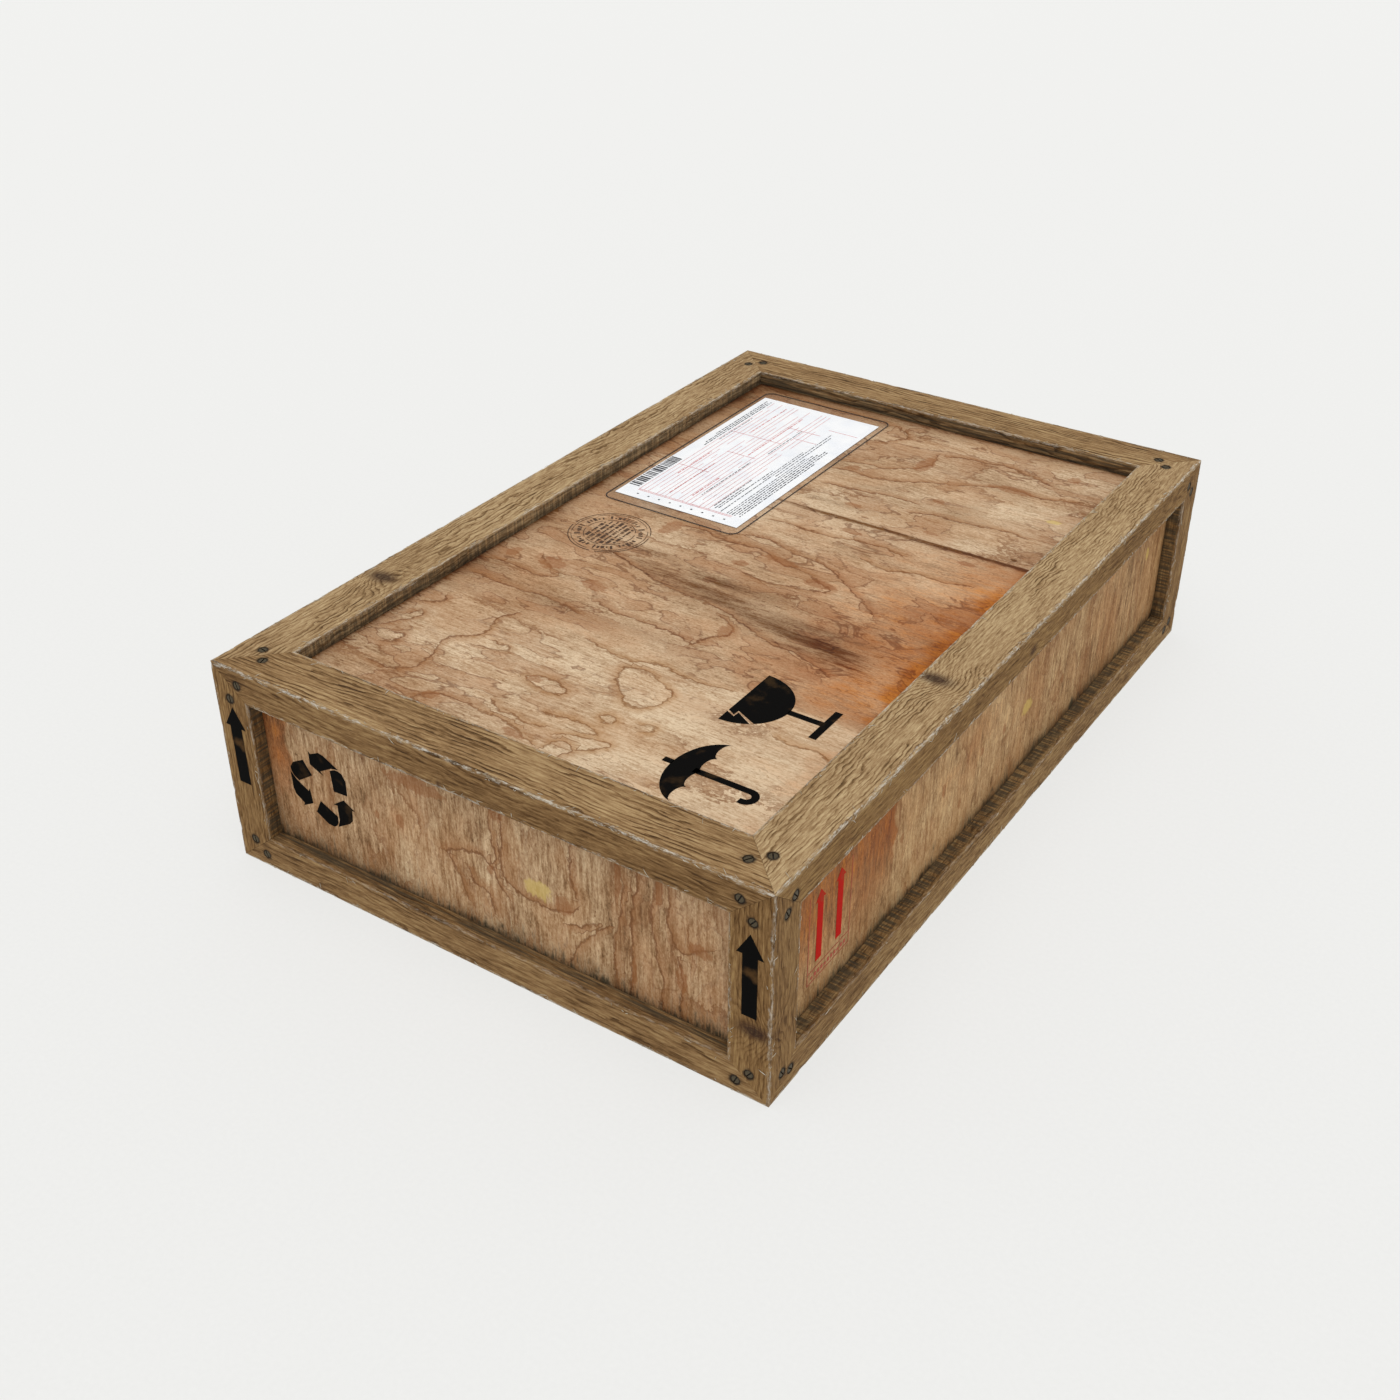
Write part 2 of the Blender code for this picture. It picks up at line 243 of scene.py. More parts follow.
class Shader:
    """A material under construction. Each method adds a node and returns its output."""

    def __init__(self, name):
        self.material = bpy.data.materials.new(name)
        self.material.use_nodes = True
        self.tree = self.material.node_tree
        self.surface = self.tree.nodes["Principled BSDF"]

    def node(self, kind, inputs, **settings):
        made = self.tree.nodes.new(kind)
        for key, value in settings.items():
            setattr(made, key, value)
        for key, value in inputs.items():
            self.feed(made.inputs[key], value)
        return made

    def feed(self, socket, value):
        if isinstance(value, bpy.types.NodeSocket):
            self.tree.links.new(value, socket)
        else:
            socket.default_value = value

    def number(self, name):
        """A painted number of the mesh."""
        return self.node("ShaderNodeAttribute", {}, attribute_name=name).outputs["Fac"]

    def vector(self, name):
        """A painted vector of the mesh."""
        return self.node("ShaderNodeAttribute", {}, attribute_name=name).outputs["Vector"]

    def local(self):
        return self.node("ShaderNodeTexCoord", {}).outputs["Object"]

    def stretch(self, vector, scale):
        inputs = {0: vector, 1: scale}
        made = self.node("ShaderNodeVectorMath", inputs, operation="MULTIPLY")
        return made.outputs[0]

    def noise(self, vector, scale, detail=3.0, roughness=0.5, distortion=0.0):
        """Noise from 0 to 1, with about the given number of cells per metre each way."""
        inputs = {
            "Vector": self.stretch(vector, scale),
            "Scale": 1.0,
            "Detail": detail,
            "Roughness": roughness,
            "Distortion": distortion,
        }
        return self.node("ShaderNodeTexNoise", inputs).outputs["Fac"]

    def parts(self, vector):
        """The X, Y and Z of a vector."""
        return self.node("ShaderNodeSeparateXYZ", {"Vector": vector}).outputs

    def math(self, operation, first, second=0.0):
        inputs = {0: first, 1: second}
        return self.node("ShaderNodeMath", inputs, operation=operation).outputs[0]

    def rest(self, value):
        """1 minus the value."""
        return self.math("SUBTRACT", 1.0, value)

    def add(self, *values):
        total = values[0]
        for value in values[1:]:
            total = self.math("ADD", total, value)
        return total

    def times(self, *values):
        total = values[0]
        for value in values[1:]:
            total = self.math("MULTIPLY", total, value)
        return total

    def step(self, value, low, high):
        """A smooth step from 0 at low to 1 at high. High may be the lower number."""
        inputs = {"Value": value, "From Min": low, "From Max": high}
        made = self.node("ShaderNodeMapRange", inputs, interpolation_type="SMOOTHSTEP")
        return made.outputs["Result"]

    def swing(self, noise, *weights):
        """A noise counted from its middle, 0.5, times the weights."""
        return self.times(self.math("SUBTRACT", noise, 0.5), *weights)

    def blend(self, base, *parts):
        """A number plus each (noise, weight), every noise counted from its middle."""
        total = base
        for noise, weight in parts:
            total = self.math("ADD", total, self.swing(noise, weight))
        return total

    def ramp(self, value, *stops):
        """Colours at places along 0 to 1, each stop being (place, colour)."""
        made = self.node("ShaderNodeValToRGB", {"Fac": value})
        elements = made.color_ramp.elements
        while len(elements) < len(stops):
            elements.new(0.5)
        for element, (place, colour) in zip(elements, stops):
            element.position = place
            element.color = colour
        return made.outputs["Color"]

    def mix(self, share, first, second, blend="MIX"):
        """From the first colour to the second, as the share goes from 0 to 1."""
        made = self.node("ShaderNodeMix", {}, data_type="RGBA", blend_type=blend)
        self.feed(made.inputs["Factor"], share)
        self.feed(made.inputs[6], first)
        self.feed(made.inputs[7], second)
        return made.outputs[2]

    def tint(self, colour, tone):
        """The colour multiplied by a tone."""
        return self.mix(1.0, colour, tone, "MULTIPLY")

    def bump(self, height, distance, strength):
        inputs = {"Height": height, "Distance": distance, "Strength": strength}
        return self.node("ShaderNodeBump", inputs).outputs["Normal"]

    def finish(self, colour, roughness, normal=None, **others):
        self.feed(self.surface.inputs["Base Color"], colour)
        self.feed(self.surface.inputs["Roughness"], roughness)
        if normal is not None:
            self.feed(self.surface.inputs["Normal"], normal)
        for name, value in others.items():
            self.feed(self.surface.inputs[name.replace("_", " ")], value)
        return self.material


def timber_rings(s, grain, mottle, jitter):
    """Growth rings cut lengthways: 1 in the dark late wood of each ring."""
    wander = s.noise(grain, (5, 22, 22), 3, 0.55)
    waves = s.noise(grain, (48, 24, 24), 2, 0.5)
    ripple = s.add(s.swing(jitter, 1.2), s.swing(waves, mottle, 1.9))
    spacing = s.add(0.0054, s.times(mottle, -0.0006))
    turns = s.blend(s.math("DIVIDE", s.number("ring"), spacing), (wander, 6.0))
    ring = s.math("FRACT", s.add(turns, ripple))
    return s.times(s.step(ring, 0.40, 0.90), s.step(ring, 1.0, 0.92))


def timber_knots(s, colour, jitter):
    """Darkens the knots, with rings in them and a darker core."""
    knot = s.number("knot")
    ring = s.math("FRACT", s.add(s.times(knot, 6.0), s.times(jitter, 1.5)))
    share = s.times(s.step(knot, 0.12, 0.95), s.add(s.times(ring, 0.30), 0.66))
    colour = s.mix(share, colour, srgb(58, 35, 24))
    core = s.step(s.blend(knot, (jitter, 0.5)), 0.72, 0.95)
    return s.mix(s.times(core, 0.4), colour, srgb(34, 22, 16))


def timber_recess_dirt_and_shade(s, colour, grain, cross):
    """Dirt and painted shade in the recesses, in stripes across the wood or streaks along it.

    Returns the colour, and the two factors that say how thick the dirt and painted shade are.
    """
    stripes = s.noise(grain, (300, 16, 16), 3, 0.65)
    streaks = s.noise(grain, (9, 260, 260), 3, 0.65)
    lines = s.add(
        s.times(s.step(stripes, 0.41, 0.57), cross),
        s.times(s.step(streaks, 0.38, 0.60), s.rest(cross)),
    )
    # Dirt and painted shade, both deeper towards the inside of a recess.
    recess_shade_and_dirt = s.number("recess_shade_and_dirt")
    share = s.times(s.step(recess_shade_and_dirt, 0.0, 0.30), s.add(0.03, s.times(lines, 0.78)))
    colour = s.mix(share, colour, srgb(66, 60, 48))
    # Painted shade, darkest in the recess's inner corner.
    corner = s.times(s.step(recess_shade_and_dirt, 0.60, 1.05), 0.45)
    return s.mix(corner, colour, srgb(30, 23, 15)), (share, lines)


def timber_bare(s, colour, grain, hair):
    """Bare, pale wood along the arrises, ending in ragged fibres.

    Returns the colour, and how bare the wood is.
    """
    ragged = s.noise(grain, (38, 170, 170), 5, 0.72)
    strands = s.noise(grain, (150, 420, 420), 3, 0.7)
    reach = s.times(s.blend(0.175, (ragged, 1.3), (strands, 0.7)), 0.0125)
    bare = s.step(s.math("SUBTRACT", s.number("arris"), reach), 0.0016, -0.0022)
    threads = s.step(s.blend(0.5, (hair, 1.2), (strands, 1.2)), 0.30, 0.72)
    worn = s.mix(threads, srgb(146, 134, 112), srgb(212, 206, 194))
    share = s.times(bare, s.number("fray"), s.add(0.46, s.times(threads, 0.46)))
    return s.mix(share, colour, worn), bare


def timber_material():
    """Weathered softwood: growth rings, fibres, knots, frayed arrises, dirt and painted shade in
    recesses.
    """
    s = Shader("weathered_timber")
    grain = s.vector("grain")
    # The style: mottle, cross stripes, and how dark the painted shade on the outer sides is.
    mottle, cross, depth = s.parts(s.vector("style"))
    side = s.number("side")
    jitter = s.noise(grain, (30, 130, 130), 4, 0.6)
    late = timber_rings(s, grain, mottle, jitter)
    ring_strength = s.step(s.noise(grain, (11, 45, 45), 3), 0.36, 0.66)
    long_fibre = s.noise(grain, (16, 240, 240), 5, 0.70)
    short_fibre = s.noise(grain, (40, 230, 230), 5, 0.70)
    fibre = s.add(s.times(long_fibre, s.rest(mottle)), s.times(short_fibre, mottle))
    hair = s.noise(grain, (50, 460, 460), 4, 0.72)
    cloud = s.noise(grain, (5, 18, 18), 4, 0.6)
    line_weight = s.times(
        s.add(0.09, s.times(ring_strength, 0.34)),
        s.rest(s.add(s.times(mottle, 0.22), s.times(side, 0.35))),
    )
    shade = s.blend(0.58, (fibre, 0.75), (hair, 0.95), (cloud, 0.50))
    side_fibre = s.noise(grain, (34, 330, 330), 4, 0.72)
    shade = s.add(shade, s.swing(side_fibre, side, 0.75))
    shade = s.math("SUBTRACT", shade, s.times(late, line_weight))
    shade = s.add(shade, s.times(mottle, 0.05))
    colour = s.ramp(
        shade,
        (0.12, srgb(70, 50, 28)),
        (0.36, srgb(120, 92, 58)),
        (0.56, srgb(160, 130, 92)),
        (0.82, srgb(198, 172, 130)),
    )
    deep = s.tint(colour, (0.88, 0.83, 0.76, 1))
    colour = s.mix(mottle, deep, colour)
    # Painted shade: the outer sides are darkened, as deep as the style's third number says.
    side_shade = s.tint(colour, (0.60, 0.50, 0.35, 1))
    colour = s.mix(s.times(side, depth), colour, side_shade)
    colour = timber_knots(s, colour, jitter)
    # Dirt and painted shade in the recesses.
    colour, dirt = timber_recess_dirt_and_shade(s, colour, grain, cross)
    # Dirt and a painted shadow round each screw head.
    screw_dirt_and_shade = s.step(s.times(s.number("screw"), s.add(cloud, 0.6)), 0.15, 1.05)
    colour = s.mix(s.times(screw_dirt_and_shade, 0.92), colour, srgb(40, 30, 20))
    colour, bare = timber_bare(s, colour, grain, hair)
    height = s.blend(0.5, (fibre, 1.6), (hair, 0.8))
    dents = (s.times(late, -0.12), s.times(bare, 0.3), s.times(*dirt, -0.5))
    height = s.add(height, *dents)
    roughness = s.add(0.74, s.times(fibre, 0.2))
    normal = s.bump(height, 0.0010, 0.9)
    return s.finish(colour, roughness, normal, Specular_IOR_Level=0.15)


def tide_marks(s, grain, mottle, cloud, wall):
    """Marks of old water, as (fill, line). The walls have fewer of them."""
    tide = s.noise(grain, (12, 26, 26), 4, 0.50, 0.5)
    share = s.step(s.noise(grain, (6, 10, 10), 2), 0.36, 0.54)
    share = s.times(share, s.rest(s.times(wall, 0.48)))
    share = s.times(share, s.step(s.number("tone"), 0.40, 0.10))
    fill = s.times(s.step(tide, 0.535, 0.550), share)
    gap = s.math("ABSOLUTE", s.math("SUBTRACT", tide, 0.540))
    small_tide = s.noise(grain, (34, 66, 66), 3, 0.50, 0.5)
    small_gap = s.math("ABSOLUTE", s.math("SUBTRACT", small_tide, 0.540))
    small_share = s.times(s.step(mottle, 0.46, 0.60), s.step(cloud, 0.42, 0.58))
    line = s.math(
        "MAXIMUM",
        s.times(s.step(gap, 0.020, 0.004), share),
        s.times(s.step(small_gap, 0.030, 0.008), small_share, 0.7),
    )
    return fill, line


def faint_contours(s, grain, jagged, mottle):
    """Faint contours of the veneer, as (line, wash beside it, where they show)."""
    turns = s.blend(s.times(s.number("figure"), 1.5), (jagged, 0.55), (mottle, 0.5))
    ring = s.math("FRACT", turns)
    line = s.times(s.step(ring, 0.86, 0.96), s.step(ring, 1.0, 0.975))
    wash = s.times(s.step(ring, 0.40, 0.98), s.step(ring, 1.0, 0.98))
    return line, wash, s.step(s.noise(grain, (8, 16, 16), 3), 0.40, 0.60)


def main_contours(s, grain, mottle):
    """The contours that are listed one by one, as (line, warm halo on one side of it)."""
    notched = s.noise(grain, (75, 110, 110), 4, 0.62)
    signed, distance, _same = s.parts(s.vector("vein"))
    across = s.blend(signed, (notched, 0.016))
    line = s.times(
        s.step(s.math("ABSOLUTE", across), 0.0026, 0.0006),
        s.step(distance, 0.013, 0.008),
        s.step(mottle, 0.10, 0.60),
    )
    return line, s.times(s.step(across, -0.0006, 0.0006), s.step(distance, 0.016, 0.0))


def veneer_damage(s, colour, wall, fibre, short, mottle, jagged):
    """Blots, stains, dirt with painted shade, filled patches and the yellow of age."""
    blot = s.blend(s.number("blot"), (jagged, 1.6), (mottle, 0.6))
    colour = s.mix(s.times(s.step(blot, 0.0, 0.22), 0.55), colour, srgb(148, 94, 52))
    stain = s.blend(s.number("stain"), (mottle, 0.9), (fibre, 0.6), (short, 0.5))
    stained = s.tint(colour, (0.75, 0.34, 0.07, 1))
    colour = s.mix(s.step(stain, 0.0, 1.1), colour, stained)
    # Dirt with painted shade, darkest along the panel frames.
    grime_and_shade = s.blend(s.number("grime_and_shade"), (short, 1.9), (mottle, 0.8), (fibre, 1.5))
    grime_and_shade_share = s.times(s.step(grime_and_shade, 0.16, 1.15), s.step(s.number("grime_and_shade"), 0.0, 0.15))
    dirt_and_shade_tint = s.mix(wall, (0.27, 0.155, 0.055, 1), (0.120, 0.135, 0.125, 1))
    dirty_and_shaded = s.tint(colour, dirt_and_shade_tint)
    colour = s.mix(grime_and_shade_share, colour, dirty_and_shaded)
    patch = s.blend(s.number("patch"), (jagged, 1.6), (fibre, 0.8))
    colour = s.mix(s.times(s.step(patch, 1.15, 0.75), 0.62), colour, srgb(214, 188, 112))
    aged = s.tint(colour, (0.92, 0.86, 0.66, 1))
    return s.mix(s.number("age"), colour, aged)


def plywood_material():
    """Rotary-cut veneer: wandering contours, stains, dirt with painted shade and pale patches."""
    s = Shader("stained_plywood")
    grain = s.vector("grain")
    fibre = s.noise(grain, (18, 200, 200), 5, 0.7)
    short = s.noise(grain, (65, 310, 310), 4, 0.75)
    fine = s.noise(grain, (240, 420, 420), 3, 0.7)
    mottle = s.noise(grain, (26, 66, 66), 5, 0.65)
    cloud = s.noise(grain, (5, 12, 12), 4, 0.6)
    specks = s.step(s.noise(grain, (130, 300, 300), 2, 0.6), 0.62, 0.72)
    jagged = s.noise(grain, (95, 150, 150), 4, 0.68)
    wall = s.step(s.number("age"), 0.0, 0.25)
    tide_fill, tide_line = tide_marks(s, grain, mottle, cloud, wall)
    faint_line, wash, faint_share = faint_contours(s, grain, jagged, mottle)
    vein, halo = main_contours(s, grain, mottle)
    noises = ((fibre, 0.62), (short, 0.80), (fine, 0.60), (mottle, 0.42), (cloud, 0.60))
    shade = s.blend(0.58, *noises)
    shade = s.add(shade, s.times(specks, -0.20), s.times(s.number("tone"), 0.30))
    upright = s.blend(0.0, (fibre, 0.50), (mottle, 0.44))
    shade = s.add(shade, s.times(upright, wall))
    colour = s.ramp(
        shade,
        (0.12, srgb(102, 72, 44)),
        (0.36, srgb(154, 120, 86)),
        (0.56, srgb(189, 158, 124)),
        (0.82, srgb(226, 203, 170)),
    )
    warmth = s.step(s.noise(grain, (9, 15, 15), 3, 0.6), 0.42, 0.62)
    colour = s.mix(s.times(warmth, 0.18), colour, srgb(192, 136, 86))
    colour = s.mix(s.times(wash, faint_share, 0.30), colour, srgb(156, 104, 60))
    colour = s.mix(s.times(tide_fill, 0.30), colour, srgb(154, 98, 54))
    colour = s.mix(s.times(tide_line, 0.62), colour, srgb(112, 68, 36))
    colour = s.mix(s.times(faint_line, faint_share, 0.55), colour, srgb(126, 84, 50))
    plainer = s.rest(s.times(wall, 0.05))
    golden = s.step(s.number("tone"), 0.05, 0.35)
    halo_tint = s.mix(golden, srgb(152, 100, 56), srgb(170, 122, 72))
    vein_tint = s.mix(golden, srgb(114, 70, 35), srgb(132, 88, 44))
    colour = s.mix(s.times(halo, plainer, 0.50), colour, halo_tint)
    colour = s.mix(s.times(vein, plainer, 0.80), colour, vein_tint)
    colour = veneer_damage(s, colour, wall, fibre, short, mottle, jagged)
    height = s.blend(0.5, (fibre, 1.4), (short, 0.8))
    height = s.add(height, s.times(vein, -0.25), s.times(specks, -0.3))
    roughness = s.add(0.64, s.times(fibre, 0.25))
    normal = s.bump(height, 0.0006, 0.9)
    return s.finish(colour, roughness, normal, Specular_IOR_Level=0.2)


def paint_material(name, solid, thin, thin_share, rub_at=None):
    """Stencil paint, rubbed thin in soft patches, with the timber's fibres showing.

    With rub_at it is rubbed through across one level, that far below the mark's tip.
    """
    s = Shader(name)
    place = s.local()
    soft = s.noise(place, (32, 32, 32), 3, 0.5)
    if rub_at is not None:
        level = s.parts(place)["Y"]
        away = s.math("ABSOLUTE", s.add(level, rub_at))
        soft = s.add(s.times(soft, 0.8), s.times(s.step(away, 0.022, 0.0), 0.30))
    fine = s.noise(place, (420, 420, 420), 3, 0.7)
    rubbed = s.step(s.add(soft, s.times(fine, 0.12)), 0.60, 0.78)
    colour = s.mix(s.times(rubbed, thin_share), solid, thin)
    chipped = s.step(fine, 0.68, 0.74)
    colour = s.mix(s.times(chipped, thin_share), colour, thin)
    normal = s.bump(fine, 0.0003, 0.5)
    roughness = s.add(0.55, s.times(fine, 0.3))
    return s.finish(colour, roughness, normal, Specular_IOR_Level=0.03)


def steel_material():
    """Dull screw steel with rust, darkened by dirt and painted shade round its edge and in its
    slot.
    """
    s = Shader("aged_screw_steel")
    place = s.local()
    rust = s.noise(place, (500, 500, 500), 4, 0.7)
    brushed = s.noise(place, (2500, 300, 300), 2)
    colour = s.ramp(
        rust,
        (0.32, srgb(34, 29, 20)),
        (0.48, srgb(92, 82, 60)),
        (0.60, srgb(66, 52, 34)),
        (0.80, srgb(48, 33, 20)),
    )
    x, y, z = s.parts(place)
    radius = s.math("SQRT", s.add(s.times(x, x), s.times(y, y)))
    # Painted shade, with some dirt, round the head's edge and down in its slot.
    dark = s.math("MAXIMUM", s.step(radius, 0.0040, 0.0054), s.step(z, -0.0005, -0.0011))
    colour = s.mix(s.times(dark, 0.85), colour, srgb(20, 16, 11))
    metallic = s.times(s.step(rust, 0.66, 0.5), 0.6)
    roughness = s.add(0.45, s.times(rust, 0.35))
    normal = s.bump(s.add(rust, s.times(brushed, 0.3)), 0.0002, 0.7)
    return s.finish(colour, roughness, normal, Metallic=metallic)


def paper_material():
    s = Shader("label_paper")
    place = s.local()
    mottle = s.noise(place, (30, 30, 30), 4, 0.6)
    pulp = s.noise(place, (1800, 1800, 1800), 2)
    colour = s.ramp(mottle, (0.3, srgb(243, 246, 251)), (0.6, srgb(253, 254, 255)))
    normal = s.bump(pulp, 0.0001, 0.4)
    return s.finish(colour, s.add(0.45, s.times(pulp, 0.1)), normal)


def ink_material(name, colour, faded):
    s = Shader(name)
    patchy = s.noise(s.local(), (160, 160, 160), 3, 0.6)
    ink = s.mix(s.step(patchy, 0.35, 0.7), colour, faded)
    return s.finish(ink, s.add(0.5, s.times(patchy, 0.1)))


def film_material():
    """Clear film: nearly invisible head on, with soft creases in its shine."""
    s = Shader("clear_pocket_film")
    creases = s.noise(s.local(), (14, 9, 14), 3, 0.5, 0.6)
    alpha = s.add(0.02, s.times(s.step(creases, 0.5, 0.8), 0.03))
    normal = s.bump(creases, 0.002, 0.5)
    return s.finish(srgb(226, 222, 214), 0.22, normal, Alpha=alpha)


def frayed_material():
    """Dry, bleached wood fibres."""
    s = Shader("frayed_fibre")
    patchy = s.noise(s.local(), (120, 120, 120), 3, 0.6)
    colour = s.ramp(
        patchy,
        (0.30, srgb(148, 132, 104)),
        (0.55, srgb(198, 190, 172)),
        (0.75, srgb(226, 222, 212)),
    )
    return s.finish(colour, s.add(0.8, s.times(patchy, 0.1)), Specular_IOR_Level=0.1)


# Timber -------------------------------------------------------------------------------

# How deep wear goes: waves on the faces, dents and rounding along the arrises.
WAVE_DEPTH = 0.00030
DENT_DEPTH = 0.0011
ROUNDING_DEPTH = 0.0001
ARRIS_REACH = 0.007

# How strongly the outer side of a rail is darkened with painted shade, where it isn't 1.
SIDE_SHADE_DEPTH = {
    "lid_rail_front": 0.60,
    "lid_rail_back": 0.60,
    "base_rail_front": 0.50,
    "base_rail_left": 0.84,
    "base_rail_right": 0.84,
}

# Knots, as (node, (centre, half sizes)), both in the row frame.
KNOTS = (
    ("lid_rail_right", ((0.344, -0.158, HEIGHT), (0.028, 0.014, 0.02))),
    ("lid_rail_left", ((-0.364, -0.332, HEIGHT), (0.026, 0.015, 0.02))),
    ("lid_rail_front", ((-0.040, -LENGTH / 2, 0.250), (0.004, 0.003, 0.010))),
    ("lid_rail_right", ((WIDTH / 2, 0.012, 0.262), (0.006, 0.012, 0.007))),
    ("post_front_right", ((0.374, -LENGTH / 2, 0.100), (0.026, 0.02, 0.012))),
)


def rounded_outline(corners):
    """Points round a section, counted with the solid on the left.

    Each corner is (x, y, radius, exposed), and the straights are split evenly. Returns
    the points and how exposed each one is: 1 outside, 0 inside a groove.
    """
    points, exposed = [], []
    count = len(corners)
    ends = []
    for index, (x, y, radius, is_open) in enumerate(corners):
        here = Vector((x, y))
        before = (Vector(corners[index - 1][:2]) - here).normalized()
        after = (Vector(corners[(index + 1) % count][:2]) - here).normalized()
        ends.append((here, before, after, radius, is_open))
    for index, (here, before, after, radius, is_open) in enumerate(ends):
        steps = ARRIS_STEPS if radius else 0
        for step in range(steps + 1):
            turn = step / steps if steps else 0.5
            angle = turn * math.pi / 2
            inward = (before + after) * radius
            reach = before * math.sin(angle) + after * math.cos(angle)
            points.append(here + inward - reach * radius if radius else here)
            exposed.append(float(is_open or radius > 0))
        following = ends[(index + 1) % count]
        start = here + after * radius
        stop = following[0] + following[1] * following[3]
        pieces = max(1, round((stop - start).length / FACE_STEP))
        for piece in range(1, pieces):
            points.append(start.lerp(stop, piece / pieces))
            exposed.append(float(is_open))
    return np.array(points), np.array(exposed)


def outline_normals(points):
    """The outward direction at each point of a closed outline with the solid on its left."""
    along = np.roll(points, -1, axis=0) - np.roll(points, 1, axis=0)
    normals = np.stack([along[:, 1], -along[:, 0]], axis=1)
    return normals / np.linalg.norm(normals, axis=1)[:, None]


def worn_beam(corners, arrises, low, high, seed):
    """A bmesh of a beam along Z whose exposed faces wave a little and arrises are chipped.

    Wear only takes material away, so the beam stays inside its clean shape.
    """
    outline, exposed = rounded_outline(corners)
    normals = outline_normals(outline)
    near_arris = 1 - smooth(distance_to(outline, arrises), 0.0, ARRIS_REACH)
    bm = bmesh.new()
    rings = []
    for height in np.linspace(low, high, max(2, round((high - low) / STATION)) + 1):
        spots = np.column_stack([outline, np.full(len(outline), height)])
        wave = 0.5 + 0.5 * layered_noise(spots * (18, 18, 7), seed, 2)
        dents = smooth(layered_noise(spots * (60, 60, 45), seed + 5, 3), 0.45, 1.3)
        chipped = near_arris * (DENT_DEPTH * dents + ROUNDING_DEPTH)
        depth = exposed * (WAVE_DEPTH * wave + chipped)
        moved = outline - normals * depth[:, None]
        rings.append([bm.verts.new((x, y, height)) for x, y in moved])
    for first, second in zip(rings, rings[1:]):
        bridge(bm, first, second)
    bm.faces.new(reversed(rings[0]))
    bm.faces.new(rings[-1])
    return bm


def keep_below_plane(bm, point, normal):
    """Cuts the solid at a plane, drops what lies beyond it, and closes the cut."""
    everything = bm.verts[:] + bm.edges[:] + bm.faces[:]
    bmesh.ops.bisect_plane(
        bm, geom=everything, dist=1e-7, plane_co=point, plane_no=normal, clear_outer=True
    )
    rim = [edge for edge in bm.edges if edge.is_boundary]
    bmesh.ops.holes_fill(bm, edges=rim, sides=0)


RAIL_ARRISES = ((0, 0), (RAIL_WIDTH, 0), (0, RAIL_HEIGHT))
POST_ARRISES = ((0, 0), (POST_FACE, 0), (0, POST_FACE))


def rail_beam(span, seed):
    """A rail along its own Z; X runs in from the outer face, Y in from top or bottom."""
    near, far = GROOVE_NEAR, GROOVE_FAR
    panel_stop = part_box("lid_panel")[0].x - CAD_BOX[0].x - GAP
    wall_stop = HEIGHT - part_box("wall_panel_front")[1].z - GAP
    corners = [
        (0, 0, 0.0016, True),
        (RAIL_WIDTH, 0, 0.0012, True),
        (RAIL_WIDTH, near, 0, False),
        (panel_stop, near, 0, False),
        (panel_stop, far, 0, False),
        (RAIL_WIDTH, far, 0, False),
        (RAIL_WIDTH, RAIL_HEIGHT, 0, False),
        (far, RAIL_HEIGHT, 0, False),
        (far, wall_stop, 0, False),
        (near, wall_stop, 0, False),
        (near, RAIL_HEIGHT, 0, True),
        (0, RAIL_HEIGHT, 0.0012, True),
    ]
    half = span / 2
    bm = worn_beam(corners, RAIL_ARRISES, -half, half, seed)
    for end in (-1, 1):
        tip = half - GAP / math.sqrt(2)
        keep_below_plane(bm, (0, 0, end * tip), (1, 0, end))
        tip = half - SLOPE_GAP / SLOPE
        keep_below_plane(bm, (0, 0, end * tip), (0, 1, end * SLOPE))
    return bm


def post_beam(seed):
    """A post along Z; X and Y run in from its two outer faces."""
    near, far = GROOVE_NEAR, GROOVE_FAR
    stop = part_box("wall_panel_front")[0].x - CAD_BOX[0].x - GAP
    half = [
        (POST_FACE, 0, 0.0012, True),
        (POST_FACE, near, 0, False),
        (stop, near, 0, False),
        (stop, far, 0, False),
        (POST_SIZE, far, 0, False),
    ]
    mirrored = [(y, x, radius, is_open) for x, y, radius, is_open in reversed(half)]
    mirrored[-2] = (*mirrored[-2][:3], True)
    corners = [(0, 0, 0.0016, True), *half, (POST_SIZE, POST_SIZE, 0, False), *mirrored]
    bm = worn_beam(corners, POST_ARRISES, 0, HEIGHT, seed)
    for height, up in ((0, -1), (HEIGHT, 1)):
        tip = height - up * SLOPE_GAP
        keep_below_plane(bm, (0, 0, tip), (SLOPE, 0, up))
        keep_below_plane(bm, (0, 0, tip), (0, SLOPE, up))
    return bm


def rail_frame(along, side, level):
    """The matrix that takes a rail from its own axes to its place in the crate."""
    up = -1 if level == "top" else 1
    height = HEIGHT if level == "top" else 0
    if along == "x":
        outer = (0, side * LENGTH / 2, height)
        columns = ((0, -side, 0), (0, 0, up), (1, 0, 0))
    else:
        outer = (side * WIDTH / 2, 0, height)
        columns = ((-side, 0, 0), (0, 0, up), (0, 1, 0))
    matrix = Matrix(columns).transposed().to_4x4()
    matrix.translation = outer
    return matrix


def post_frame(side_x, side_y):
    matrix = Matrix.Diagonal((-side_x, -side_y, 1, 1))
    matrix.translation = (side_x * WIDTH / 2, side_y * LENGTH / 2, 0)
    return matrix


